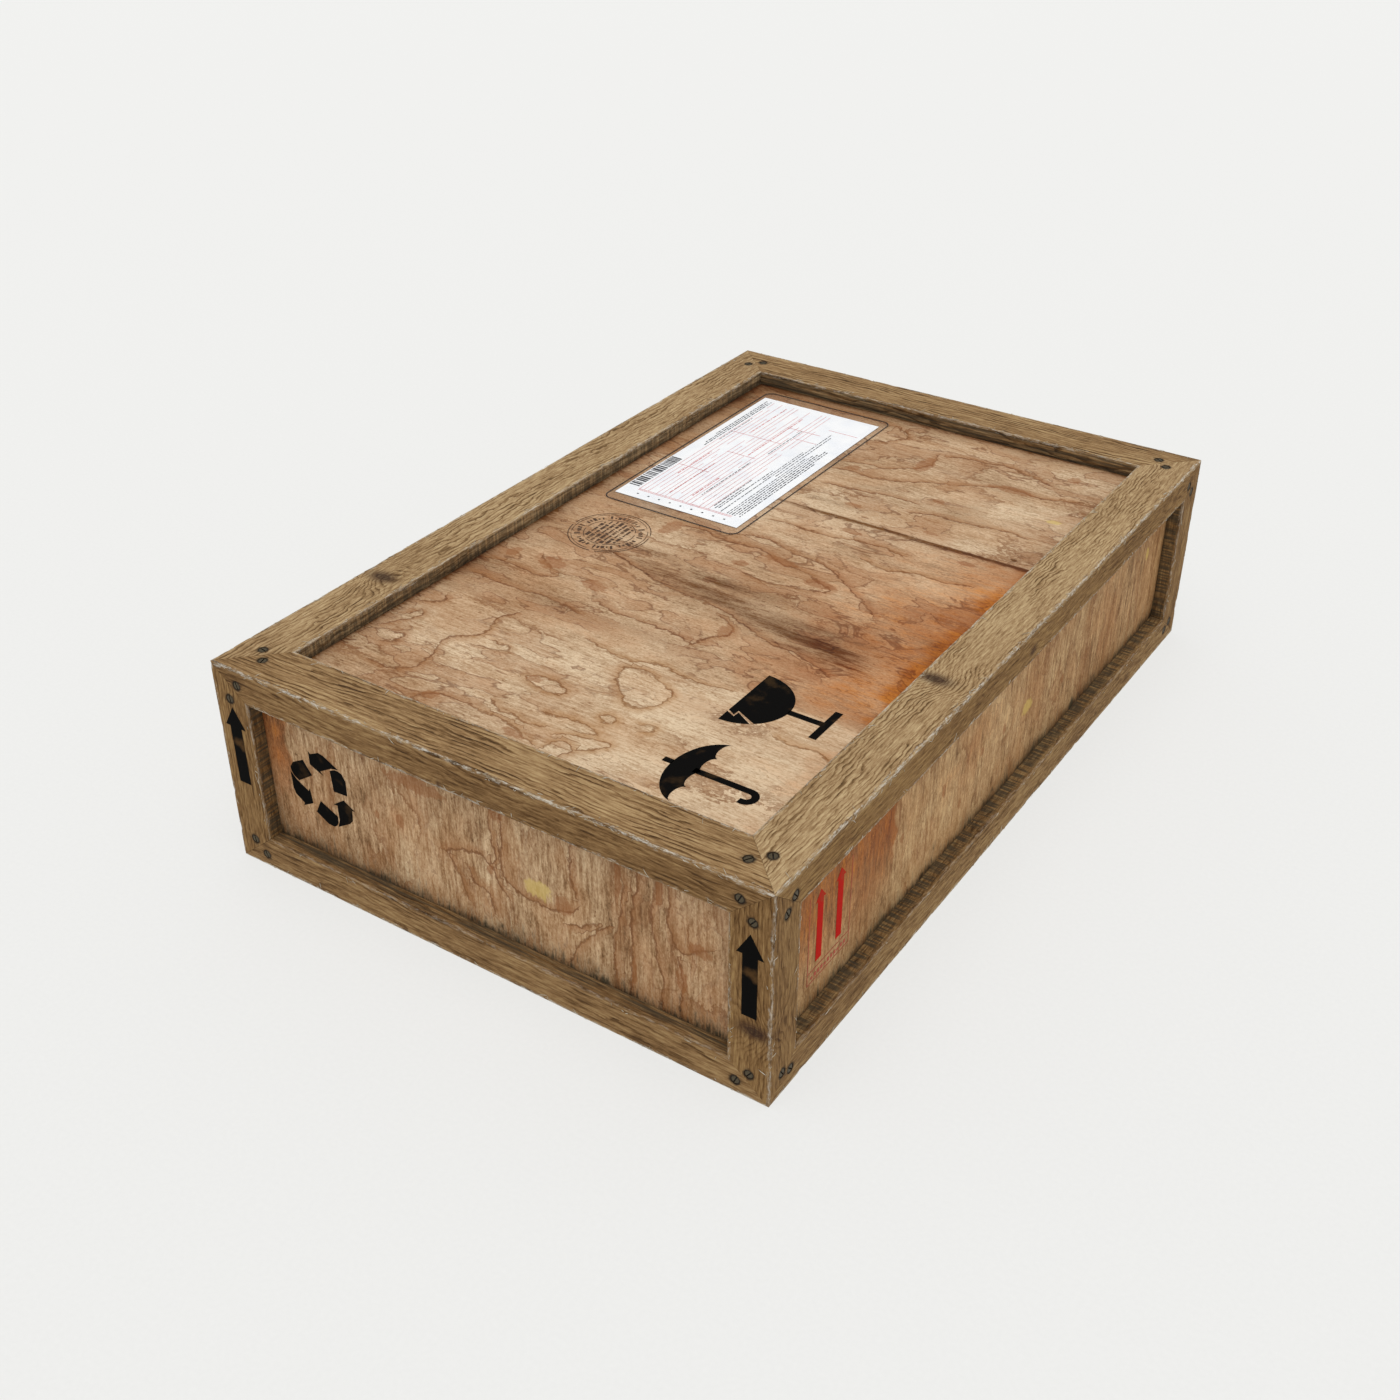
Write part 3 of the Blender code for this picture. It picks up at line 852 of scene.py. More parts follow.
def rail_wear(node, x, y):
    """Where a rail has recess dirt and painted shade, fraying, painted side shade, and its grain
    style.
    """
    on_side = float(node.endswith(("left", "right")))
    on_lid = node.startswith("lid")
    stripes = on_side * (0.55 if on_lid else 1.0)
    return {
        "arrises": RAIL_ARRISES,
        "from_panel": np.where(x > RAIL_WIDTH - 0.002, y, 0) / RECESS,
        "from_wall": np.where(y > RAIL_HEIGHT - 0.002, x, 0) / RECESS,
        "fray": np.where(x + y < 0.03, 0.85, 0.6 if on_lid else 0.25),
        "side": smooth(y, 0.0008, 0.0030) * (x < RAIL_WIDTH / 2),
        "style": (on_side, stripes, SIDE_SHADE_DEPTH.get(node, 1.0)),
        "recess_shade_and_dirt": 1.25 if on_lid else 0.66,
    }


def post_wear(x, y):
    """The same for a post."""
    return {
        "arrises": POST_ARRISES,
        "from_panel": np.where(np.abs(x - POST_FACE) < 0.002, y, 0) / RECESS,
        "from_wall": np.where(np.abs(y - POST_FACE) < 0.002, x, 0) / RECESS,
        "fray": np.where(x + y < 0.03, 0.52, 0.4),
        "side": np.ones(len(x)),
        # The style's last number is how dark the painted shade on the sides is.
        "style": (0.6, 1.0, 0.88),
        "recess_shade_and_dirt": 1.0,
    }


def paint_timber(mesh, node, place, seed, heads, knots):
    """Stores the values that the timber material reads, worked out from each point."""
    world = mesh_points(mesh)
    back = np.array(place.inverted(), float)
    local = world @ back[:3, :3].T + back[:3, 3]
    x, y, z = local.T
    wear = post_wear(x, y) if node.startswith("post") else rail_wear(node, x, y)
    section = np.column_stack([x, y])
    pith = np.array([-0.25 - 0.04 * (seed % 3), -0.16 - 0.05 * (seed % 4)])
    ring = np.linalg.norm(section - pith, axis=1)
    ring += 0.010 * lattice_noise(local * (1.5, 1.5, 3.0), seed + 3)
    knot = np.zeros(len(world))
    for centre, size in knots:
        spread = np.sum(((world - np.array(centre)) / np.array(size)) ** 2, axis=1)
        knot = np.maximum(knot, np.exp(-spread))
        ring += 1.5 * min(size) * np.exp(-spread / 6)
    # Nearness to each screw head's rim, for the dirt and painted shadow round it.
    screw = np.zeros(len(world))
    for head in heads:
        screw = np.maximum(screw, bell(distance_to(world, [head]) - 0.005, 0.003))
    values = {
        "grain": np.column_stack([z, x, y]) + seed * 0.713,
        "ring": ring,
        "arris": distance_to(section, wear["arrises"]),
        "fray": wear["fray"],
        "side": wear["side"],
        "style": np.tile(np.array(wear["style"], float), (len(world), 1)),
        "knot": knot,
        # How far into a recess the wood is, for its dirt and painted shade.
        "recess_shade_and_dirt": wear["recess_shade_and_dirt"] * np.maximum(wear["from_panel"], wear["from_wall"]),
        "screw": screw,
    }
    for name, painted in values.items():
        paint(mesh, name, painted)


def make_timber(node, beam, place, seed, screws, materials):
    """Sets one beam in its place, drills and paints it, and gives it splinters."""
    timber, frayed = materials
    beam.transform(place)
    obj = make_object("worn_" + node, mesh_from(beam, node))
    drill_for_screws(obj, node, screws)
    heads = [screw["head"] for screw in screws]
    knots = [knot for owner, knot in KNOTS if owner == node]
    paint_timber(obj.data, node, place, seed, heads, knots)
    obj.data.materials.clear()
    obj.data.materials.append(timber)
    shade(obj.data, 38)
    stand_for(obj, node)
    make_splinters(node, place, seed, frayed)


def make_timbers(screws, materials):
    sides = {"front": ("x", -1), "back": ("x", 1), "left": ("y", -1), "right": ("y", 1)}
    seed = 1
    for prefix, level in (("lid", "top"), ("base", "bottom")):
        for word, (along, side) in sides.items():
            beam = rail_beam(WIDTH if along == "x" else LENGTH, seed)
            place = rail_frame(along, side, level)
            make_timber(f"{prefix}_rail_{word}", beam, place, seed, screws, materials)
            seed += 1
    for word_y, side_y in (("front", -1), ("back", 1)):
        for word_x, side_x in (("left", -1), ("right", 1)):
            place = post_frame(side_x, side_y)
            node = f"post_{word_y}_{word_x}"
            make_timber(node, post_beam(seed), place, seed, screws, materials)
            seed += 1


# Splinters ----------------------------------------------------------------------------


def add_splinter(bm, base, run, out, width):
    """Adds one thin three-sided needle that lies on a face and lifts a little."""
    across = run.cross(out).normalized() * width / 2
    middle = base + run * 0.55 + out * (run.length * 0.03)
    rings = []
    for spot, size in ((base, 0.6), (middle, 1.0)):
        shape = (spot + across * size, spot - across * size, spot + out * width * 0.8 * size)
        rings.append([bm.verts.new(point) for point in shape])
    tip = bm.verts.new(base + run + out * (run.length * 0.02))
    bm.faces.new(rings[0])
    bridge(bm, *rings)
    for index in range(3):
        bm.faces.new((rings[1][index], rings[1][(index + 1) % 3], tip))


def splinter_edges(node):
    """A timber's frayed arrises: where in its section, from, to, splinters per metre, ways.

    The ways say which faces beside the arris are frayed, and which way each runs: the
    first is the face at Y = 0, the second the face at X = 0, and 0 leaves a face clean.
    """
    if node.startswith("post"):
        low, high = RAIL_HEIGHT, HEIGHT - RAIL_HEIGHT
        return (
            ((0, 0), 0.0, HEIGHT, 60, (1, 1)),
            ((POST_FACE, 0), low, high, 45, (-1, 0)),
            ((0, POST_FACE), low, high, 45, (0, -1)),
        )
    half = (LENGTH if node.endswith(("left", "right")) else WIDTH) / 2
    lower = ((0, RAIL_HEIGHT), POST_FACE - half, half - POST_FACE)
    if node.startswith("base"):
        return ((0, 0), -half, half, 45, (0, 1)), (*lower, 20, (0, -1))
    return (
        ((0, 0), -half, half, 90, (1, 1)),
        ((RAIL_WIDTH, 0), RAIL_WIDTH - half, half - RAIL_WIDTH, 60, (-1, 0)),
        (*lower, 45, (0, -1)),
    )


def make_splinters(node, place, seed, material):
    """Frayed fibres along the exposed arrises of one timber."""
    random = np.random.default_rng(seed)
    bm = bmesh.new()
    for corner, low, high, density, ways in splinter_edges(node):
        for _ in range(int((high - low) * density)):
            on_top = ways[0] if ways[1] == 0 or (ways[0] and random.random() < 0.5) else 0
            inward = abs(random.normal(0, 0.0022)) + 0.0006
            z = low + 0.008 + random.random() * (high - low - 0.016)
            length = 0.003 + 0.010 * random.random() ** 2
            slant = random.normal(0, 0.55) * (1 if random.random() < 0.8 else 2.2)
            turn = 1 if random.random() < 0.5 else -1
            sideways, along = abs(math.sin(slant)), turn * math.cos(slant)
            if on_top:
                base = Vector((corner[0] + on_top * inward, -0.00005, z))
                run = Vector((on_top * sideways, 0, along))
                out = Vector((0, -1, 0))
            else:
                base = Vector((-0.00005, corner[1] + ways[1] * inward, z))
                run = Vector((0, ways[1] * sideways, along))
                out = Vector((-1, 0, 0))
            add_splinter(bm, base, run * length, out, 0.0004 + 0.0004 * random.random())
    bm.transform(place)
    name = "splinters_" + node
    ride_with(make_object(name, mesh_from(bm, name), material), node)


# Screws -------------------------------------------------------------------------------

SCREW_SEGMENTS = 24
HEAD_RADIUS = 0.0055
HEAD_SINK = 0.0004
LID_SCREW_RADIUS = 0.00225
OTHER_SCREW_RADIUS = 0.0018
SLOT_WIDTH = 0.0017
SLOT_DEPTH = 0.0015

# A hole: its sides, the room round and below the head, and how far its cutter stands out.
HOLE_SEGMENTS = 20
HOLE_ROOM = 0.0004
HOLE_SINK = 0.0006
CUTTER_RISE = 0.004


def find_screws():
    """Where each CAD screw's head is, which way it faces, and how long the screw is."""
    screws = []
    for node in sorted(frame["nodes"]):
        if "_screw_" not in node:
            continue
        low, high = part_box(node)
        size = high - low
        axis = max(range(3), key=lambda index: size[index])
        head = (low + high) / 2
        side = 1 if axis == 2 or head[axis] > 0 else -1
        head[axis] = (high if side > 0 else low)[axis] + side * HEAD_SINK
        screw = {
            "node": node,
            "head": head,
            "out": Vector([side if index == axis else 0 for index in range(3)]),
            "length": size[axis] + HEAD_SINK,
            "radius": LID_SCREW_RADIUS if node.startswith("lid_screw") else OTHER_SCREW_RADIUS,
        }
        screws.append(screw)
    return screws


def screw_matrix(screw, turn):
    matrix = screw["out"].to_track_quat("Z", "Y").to_matrix().to_4x4()
    matrix = matrix @ Matrix.Rotation(turn, 4, "Z")
    matrix.translation = screw["head"]
    return matrix


def turned(profile, segments):
    """A bmesh turned about Z from a profile of (radius, height), top to bottom."""
    bm = bmesh.new()
    points = [bm.verts.new((radius, 0, height)) for radius, height in profile]
    edges = [bm.edges.new(pair) for pair in zip(points, points[1:])]
    bmesh.ops.spin(
        bm,
        geom=points + edges,
        cent=(0, 0, 0),
        axis=(0, 0, 1),
        angle=math.tau,
        steps=segments,
    )
    bmesh.ops.remove_doubles(bm, verts=bm.verts, dist=1e-6)
    return bm


def screw_hole(screw):
    """A bmesh that fills the countersunk hole of one screw."""
    wide = HEAD_RADIUS + HOLE_ROOM
    narrow = screw["radius"] + GAP
    rim = -HEAD_SINK - HOLE_SINK
    bottom = -screw["length"] - GAP
    profile = [
        (0, CUTTER_RISE),
        (wide, CUTTER_RISE),
        (wide, rim),
        (narrow, rim - (wide - narrow)),
        (narrow, bottom),
        (0, bottom),
    ]
    hole = turned(profile, HOLE_SEGMENTS)
    hole.transform(screw_matrix(screw, 0.1))
    return hole


def drill_for_screws(obj, node, screws):
    """Cuts countersunk holes in a timber for all the screws that pass through it."""
    low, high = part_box(node)
    cutters = bmesh.new()
    for screw in screws:
        box_low, box_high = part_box(screw["node"])
        if any(box_low[i] > high[i] or box_high[i] < low[i] for i in range(3)):
            continue
        hole = screw_hole(screw)
        piece = bpy.data.meshes.new("hole")
        hole.to_mesh(piece)
        hole.free()
        cutters.from_mesh(piece)
    cut_away(obj, make_object("holes", mesh_from(cutters, "holes")))


def screw_mesh(radius, length):
    """A slotted countersunk head with a slightly domed, rounded-over top."""
    top = -HEAD_SINK
    profile = [
        (0, top + 0.00025),
        (HEAD_RADIUS * 0.5, top + 0.0002),
        (HEAD_RADIUS * 0.85, top),
        (HEAD_RADIUS * 0.97, top - 0.00018),
        (HEAD_RADIUS, top - 0.0004),
        (HEAD_RADIUS, top - 0.0007),
        (radius, top - 0.0007 - (HEAD_RADIUS - radius)),
        (radius, 0.005 - length),
        (0, -length),
    ]
    obj = make_object("screw", mesh_from(turned(profile, SCREW_SEGMENTS), "screw"))
    cutter_length, cutter_height = 0.016, 0.004
    cutter_size = (cutter_length, SLOT_WIDTH, cutter_height)
    cutter_place = (0, 0, top - SLOT_DEPTH + cutter_height / 2)
    slot = bmesh.new()
    bmesh.ops.create_cube(slot, size=1.0)
    bmesh.ops.scale(slot, verts=slot.verts, vec=cutter_size)
    bmesh.ops.translate(slot, verts=slot.verts, vec=cutter_place)
    cut_away(obj, make_object("slot", mesh_from(slot, "slot")))
    mesh = obj.data
    bpy.data.objects.remove(obj, do_unlink=True)
    shade(mesh, 32)
    return mesh


def make_screws(screws, material):
    meshes = {}
    for index, screw in enumerate(screws):
        size = (screw["radius"], round(screw["length"], 4))
        if size not in meshes:
            meshes[size] = screw_mesh(*size)
            meshes[size].materials.append(material)
        obj = make_object("steel_" + screw["node"], meshes[size])
        obj.matrix_world = screw_matrix(screw, math.radians(25 + 67 * index))
        stand_for(obj, screw["node"])


# Panels -------------------------------------------------------------------------------

# How uneven a panel's faces are.
PANEL_WAVE_DEPTH = 0.00025

# What a panel stores where it has no patch, no contour and no blot.
NO_PATCH = 4.0
NO_VEIN = 0.05
NO_BLOT = -3.0


def slab_mesh(name, low, high, step, seed):
    """A thin board with fine grids on its two large faces, gently uneven.

    Its thinnest direction is found from its corners. Wear only goes inwards.
    """
    low, high = np.array(low, float), np.array(high, float)
    size = high - low
    thin = int(np.argmin(size))
    first, second = [axis for axis in range(3) if axis != thin]
    count_a = max(2, round(size[first] / step))
    count_b = max(2, round(size[second] / step))
    grid_a, grid_b = np.meshgrid(
        np.linspace(low[first], high[first], count_a + 1),
        np.linspace(low[second], high[second], count_b + 1),
        indexing="ij",
    )
    layers = []
    for level, inward in ((low[thin], 1), (high[thin], -1)):
        spots = np.zeros((grid_a.size, 3))
        spots[:, first], spots[:, second] = grid_a.ravel(), grid_b.ravel()
        uneven = 0.5 + 0.5 * layered_noise(spots * 14 + level, seed, 2)
        spots[:, thin] = level + inward * PANEL_WAVE_DEPTH * np.clip(uneven, 0, 1)
        layers.append(spots)
    verts = np.vstack(layers)
    per_layer = grid_a.size
    width = count_b + 1
    faces = []
    for i in range(count_a):
        for j in range(count_b):
            corner = i * width + j
            quad = (corner, corner + width, corner + width + 1, corner + 1)
            faces.append(quad)
            faces.append(tuple(per_layer + k for k in reversed(quad)))
    rim = list(range(width))
    rim += [i * width + count_b for i in range(1, count_a + 1)]
    rim += [count_a * width + j for j in range(count_b - 1, -1, -1)]
    rim += [i * width for i in range(count_a - 1, 0, -1)]
    for here, after in zip(rim, rim[1:] + rim[:1]):
        faces.append((here, after, after + per_layer, here + per_layer))
    mesh = bpy.data.meshes.new(name)
    mesh.from_pydata(verts.tolist(), [], faces)
    bm = bmesh.new()
    bm.from_mesh(mesh)
    bmesh.ops.recalc_face_normals(bm, faces=bm.faces)
    bm.to_mesh(mesh)
    bm.free()
    return mesh


def bumps(along, across, places):
    """A sum of smooth hills, each (along, across, half length, half width, height)."""
    total = np.zeros(len(along))
    for centre_a, centre_b, size_a, size_b, height in places:
        total += height * np.exp(
            -(((along - centre_a) / size_a) ** 2) - ((across - centre_b) / size_b) ** 2
        )
    return total


def patch_distance(along, across, centre_a, centre_b, size_a, size_b):
    """1 on the edge of an ellipse, less inside it, capped well outside it."""
    gap = ((along - centre_a) / size_a) ** 2 + ((across - centre_b) / size_b) ** 2
    return np.minimum(np.sqrt(gap), NO_PATCH)


def rounded_stroke(stroke):
    """A broken line with its bends cut off, twice over, so that it runs smoothly."""
    points = np.array(stroke)
    for _ in range(2):
        near = points[:-1] * 0.75 + points[1:] * 0.25
        far = points[:-1] * 0.25 + points[1:] * 0.75
        middle = np.stack([near, far], axis=1).reshape(-1, 2)
        points = np.vstack([points[:1], middle, points[-1:]])
    return points


def stroke_distance(x, y, strokes):
    """For each point, the distance from the nearest stroke: signed by side, and plain."""
    spots = np.column_stack([x, y])
    nearest = np.full(len(x), NO_VEIN)
    signed = nearest.copy()
    for stroke in strokes:
        points = rounded_stroke(stroke)
        for start, run in zip(points, np.diff(points, axis=0)):
            offset = spots - start
            share = np.clip(offset @ run / (run @ run), 0, 1)
            gap = np.linalg.norm(offset - share[:, None] * run, axis=1)
            side = np.sign(run[0] * offset[:, 1] - run[1] * offset[:, 0])
            closer = gap < nearest
            nearest = np.where(closer, gap, nearest)
            signed = np.where(closer, gap * side, signed)
    return np.column_stack([signed, nearest, nearest])


def blot_depth(x, y, blots):
    """1 in the middle of a blot, 0 at its edge and below 0 outside it."""
    depth = np.full(len(x), NO_BLOT)
    for centre_x, centre_y, half_x, half_y in blots:
        gap = np.hypot((x - centre_x) / half_x, (y - centre_y) / half_y)
        depth = np.maximum(depth, 1 - gap)
    return depth


def paint_panel(mesh, along, across, seed, values):
    """Stores what the plywood material reads. The grain runs along the first number."""
    count = len(along)
    grain = np.column_stack([along, across, np.zeros(count)]) + seed * 0.731
    paint(mesh, "grain", grain)
    for name in ("figure", "tone", "stain", "grime_and_shade"):
        paint(mesh, name, values.get(name, np.zeros(count)))
    paint(mesh, "patch", values.get("patch", np.full(count, NO_PATCH)))
    paint(mesh, "vein", values.get("vein", np.full((count, 3), NO_VEIN)))
    paint(mesh, "blot", values.get("blot", np.full(count, NO_BLOT)))
    paint(mesh, "age", values.get("age", np.zeros(count)))


def frame_dirt_and_shade(distance, width, strength):
    """Dirt and painted shade where a panel meets its frame, fading away from it."""
    return strength * np.exp(-np.maximum(distance, 0) / width)


def metres(table):
    """The same table in metres, from one in millimetres."""
    return [metres(row) if isinstance(row, tuple) else row / 1000 for row in table]


# Contours of the lid's veneer, as broken lines of (x, y) in millimetres.
LID_VEINS = metres(
    (
        ((-141, 35), (-107, 42), (-91, 31), (-57, 35), (-26, 42), (5, 27), (24, 12), (51, 19),
         (74, 12), (97, -4), (120, -12), (109, -25), (67, -27), (36, -35), (5, -32)),
        ((-57, 62), (-26, 69), (5, 58), (36, 45), (67, 50), (97, 38), (117, 22), (143, 4),
         (174, -15), (190, -35)),
        ((-64, 346), (-26, 350), (13, 362), (45, 381), (55, 408), (47, 440)),
        ((-57, 317), (5, 319), (51, 335), (97, 354), (143, 381), (190, 396), (236, 388),
         (282, 408)),
        ((59, 442), (97, 458), (143, 462), (190, 454), (228, 438)),
        ((-318, 527), (-287, 512), (-164, 502), (-72, 502), (-26, 485), (-18, 469), (-57, 431)),
        ((-326, -192), (-287, -181), (-249, -185), (-210, -188), (-195, -173), (-226, -158),
         (-249, -142)),
        ((36, -150), (67, -158), (74, -177), (51, -200), (43, -223)),
        ((-187, -77), (-87, -115), (-26, -123), (36, -131), (128, -169), (190, -173), (220, -192)),
        ((-187, -285), (-199, -308), (-187, -335), (-191, -358), (-222, -373), (-214, -400),
         (-210, -431), (-203, -450), (-226, -469), (-264, -465)),
        ((5, -308), (36, -304), (67, -319), (93, -335), (82, -365), (59, -381), (36, -365),
         (13, -342), (5, -308)),
        ((-84, -389), (-64, -377), (-31, -384), (-14, -396), (-30, -407), (-60, -407), (-84, -389)),
        ((-64, -285), (-10, -296), (36, -285), (82, -292), (143, -285)),
        ((-160, -500), (-149, -485), (-118, -477), (-26, -485), (13, -500)),
        ((28, -470), (60, -458), (97, -452), (60, -490)),
        ((-287, -300), (-279, -315), (-310, -323)),
        ((46, -414), (53, -406), (64, -408), (66, -418), (56, -425), (46, -414)),
        ((-10, -442), (20, -436), (50, -438), (66, -448), (40, -455)),
        ((30, -500), (34, -485), (50, -480), (62, -489), (58, -503)),
        ((-300, -352), (-292, -338), (-284, -352), (-296, -372), (-308, -392)),
        ((-283, -404), (-268, -398), (-262, -412), (-276, -424)),
        ((-80, -462), (-60, -474), (-40, -468), (-22, -476), (2, -466)),
        ((95, -398), (112, -392), (118, -404), (104, -412)),
        ((236, -336), (262, -345), (290, -340), (312, -352)),
        ((-120, -205), (-60, -214), (4, -210), (40, -222)),
        ((-300, -225), (-240, -232), (-180, -226), (-120, -240)),
        ((110, 88), (150, 80), (190, 92), (230, 86), (262, 98)),
        ((-50, 118), (0, 126), (50, 120), (100, 134), (150, 130)),
        ((100, 250), (140, 262), (180, 256), (220, 270), (270, 266)),
        ((-50, 262), (0, 268), (40, 280), (90, 276)),
        ((-164, -354), (-133, -354), (-141, -370), (-172, -370)),
    )
)

# Filled orange-brown blots on the lid, as (x, y, half length, half width), also in mm.
LID_BLOTS = metres(
    (
        (-155, 23, 14, 22), (-22, -13, 14, 9), (98, -6, 26, 10), (20, 22, 30, 9),
        (45, 400, 13, 34), (190, 392, 36, 11), (-226, -150, 22, 16), (-145, -169, 20, 16),
        (-30, -75, 12, 10), (-70, -388, 13, 10), (62, -172, 12, 18), (-290, -150, 10, 14),
        (-18, -497, 22, 7), (-149, -491, 12, 10), (230, 150, 18, 6), (60, 150, 20, 7),
        (150, 205, 16, 6), (-40, 330, 12, 10), (120, 300, 14, 6), (250, 470, 10, 10),
        (20, 225, 18, 7),
    )
)

# The same for the front wall, in x and z.
FRONT_VEINS = metres(
    (
        ((-63, 138), (-39, 148), (-10, 157), (4, 148), (14, 133)),
        ((-58, 133), (-39, 104), (-30, 80)),
        ((-25, 124), (-20, 107), (4, 104), (9, 80)),
        ((11, 240), (9, 186), (14, 157), (9, 133), (28, 109)),
        ((23, 240), (28, 196), (18, 167), (28, 133), (52, 121), (91, 119), (115, 124), (129, 138)),
        ((124, 240), (119, 186), (129, 157)),
        ((172, 133), (148, 109), (129, 85), (115, 56)),
        ((158, 129), (134, 114), (119, 109)),
        ((180, 245), (196, 196), (189, 157), (182, 124), (180, 85), (182, 46)),
        ((213, 245), (206, 148), (201, 100), (201, 46)),
        ((237, 245), (230, 167), (235, 129), (244, 90), (244, 46)),
        ((252, 240), (252, 177), (259, 148), (273, 138), (288, 153), (307, 162)),
        ((264, 133), (271, 109), (266, 85), (268, 50)),
    )
)
FRONT_BLOTS = metres(
    (
        (292, 155, 19, 9), (110, 133, 13, 15), (-167, 145, 5, 7), (5, 138, 6, 7), (74, 139, 4, 4),
        (268, 100, 8, 20), (-100, 215, 50, 12), (186, 205, 5, 36), (240, 215, 6, 22),
        (-128, 150, 6, 12), (205, 80, 4, 26), (20, 222, 12, 10),
    )
)

# Small knots of the right wall, as (y, z, half width, half height).
RIGHT_BLOTS = metres(
    (
        (-278, 146, 5, 10), (-171, 150, 6, 12), (-64, 146, 5, 9), (0, 143, 5, 10),
        (190, 120, 6, 10), (-120, 100, 5, 10),
    )
)


def lid_grime_and_shade(x, y, wobble, front_zone, back_zone):
    """Dirt on the lid along its frame and joint and in a long dark smear, and painted shade by the
    frame.
    """
    half_x, half_y = WIDTH / 2 - RAIL_WIDTH, LENGTH / 2 - RAIL_WIDTH
    edge = np.minimum(half_x - np.abs(x), half_y - np.abs(y))
    # Painted shade along the frame, deepest by the left and back rails, on top of dirt.
    shaded_edge = np.minimum(half_x + x, half_y - y)
    grime_and_shade = frame_dirt_and_shade(edge, 0.007, 0.45) + frame_dirt_and_shade(shaded_edge, 0.022, 0.5)
    joint = bell(y - 0.181 + wobble * 0.4, 0.0045) * smooth(x, -0.15, 0.0)
    below_joint = np.where(y < 0.182, np.exp((y - 0.182) / 0.024), 0) * smooth(x, -0.2, 0.1)
    streaks = face_noise(x, y, 7, 60, 31)
    smear = bell(y + 0.095 + 0.20 * x, 0.042) * (1 - 0.8 * smooth(x, 0.20, 0.29))
    smear *= 0.35 + 0.65 * smooth(x, -0.20, -0.06)
    smear *= 0.70 + 0.55 * streaks
    grime_and_shade += 0.75 * joint + 0.55 * below_joint + np.clip(smear, 0, 1.05)
    above_joint = bell(y - 0.212, 0.022) * bell(x - 0.02, 0.14)
    grime_and_shade += 0.42 * above_joint * (0.8 + 0.6 * streaks)
    clouds = smooth(face_noise(x, y, 6, 15, 57, 4), 0.10, 1.10)
    grime_and_shade += 0.36 * clouds * (0.35 + 0.65 * back_zone) * (1 - front_zone)
    shade_band = bell(y + 0.245, 0.030) * (1 - front_zone)
    grime_and_shade += 0.30 * shade_band * (0.8 + 0.5 * streaks)
    grime_and_shade += 1.6 * bell(np.hypot(x - 0.282, y - 0.198), 0.005)
    low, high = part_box("label_pocket")
    in_film = np.minimum.reduce([x - low.x, high.x - x, y - low.y, high.y - y])
    grime_and_shade += 0.20 * smooth(in_film, 0.0, 0.006)
    return grime_and_shade


def lid_stain(x, y, front_zone, back_zone):
    """The orange water stain on the right of the lid."""
    ragged = 0.03 * face_noise(x, y, 20, 26, 41)
    window = smooth(y, -0.30, -0.24) * (1 - smooth(y, 0.05, 0.20) * 0.4) * (1 - back_zone)
    stain = 0.55 * smooth(x + ragged * 0.5, 0.285, 0.330) * window
    stain += 0.50 * smooth(x + ragged, 0.06, 0.30) * window
    stain += 0.30 * smooth(x + ragged, 0.29, 0.33) * front_zone
    stain += 0.06
    stain += 0.12 * (1 - front_zone) * (1 - back_zone)
    return stain


def lid_values(points):
    """The lid: veneer joints, contours, a water stain on the right, a dark smear."""
    x, y, _z = points.T
    wobble = 0.006 * face_noise(x, y, 12, 12, 5, 1)
    front_zone = smooth(-0.279 + wobble - y, -0.006, 0.008)
    back_zone = smooth(y, 0.180, 0.186)
    tone = 0.06 + 0.34 * front_zone * smooth(x, -0.15, 0.25) - 0.12 * back_zone
    tone -= 0.38 * smooth(-x, 0.05, 0.28) * (1 - 0.5 * front_zone)
    tone += 0.14 * smooth(y, -0.10, -0.30) * (1 - front_zone)
    tone += (0.22 + 0.16 * back_zone) * face_noise(x, y, 5, 9, 23, 2)
    warped_x = x + 0.004 * face_noise(x, y, 26, 26, 13, 2)
    warped_y = y + 0.004 * face_noise(x, y, 26, 26, 19, 2)
    values = {
        "figure": 0.9 * face_noise(x, y, 3.2, 9.0, 11, 2),
        "tone": tone,
        "stain": lid_stain(x, y, front_zone, back_zone),
        "grime_and_shade": lid_grime_and_shade(x, y, wobble, front_zone, back_zone),
        "patch": patch_distance(x, y, 0.280, 0.331, 0.013, 0.005),
        "vein": stroke_distance(warped_x, warped_y, LID_VEINS),
        "blot": blot_depth(warped_x, warped_y, LID_BLOTS),
    }
    return x, y, values


def base_values(points):
    """The base panel: plain veneer, darker along its frame with dirt and painted shade."""
    x, y, _z = points.T
    half_x, half_y = WIDTH / 2 - RAIL_WIDTH, LENGTH / 2 - RAIL_WIDTH
    edge = np.minimum(half_x - np.abs(x), half_y - np.abs(y))
    values = {
        "figure": face_noise(x, y, 3, 9, 77),
        "tone": 0.3 * face_noise(x, y, 6, 18, 78, 2),
        "grime_and_shade": frame_dirt_and_shade(edge, 0.02, 0.6),
    }
    return x, y, values


# The walls: seed, where the orange end stops, the pale patch's place and half sizes, and
# how much redder the far end is.
WALLS = {
    "front": (61, -0.305, 0.074, (0.013, 0.019), 1.0),
    "back": (67, -0.36, -0.05, (0.012, 0.015), 0.0),
    "left": (71, -0.60, -0.12, (0.012, 0.015), 0.5),
    "right": (73, -0.292, 0.071, (0.011, 0.016), 0.6),
}


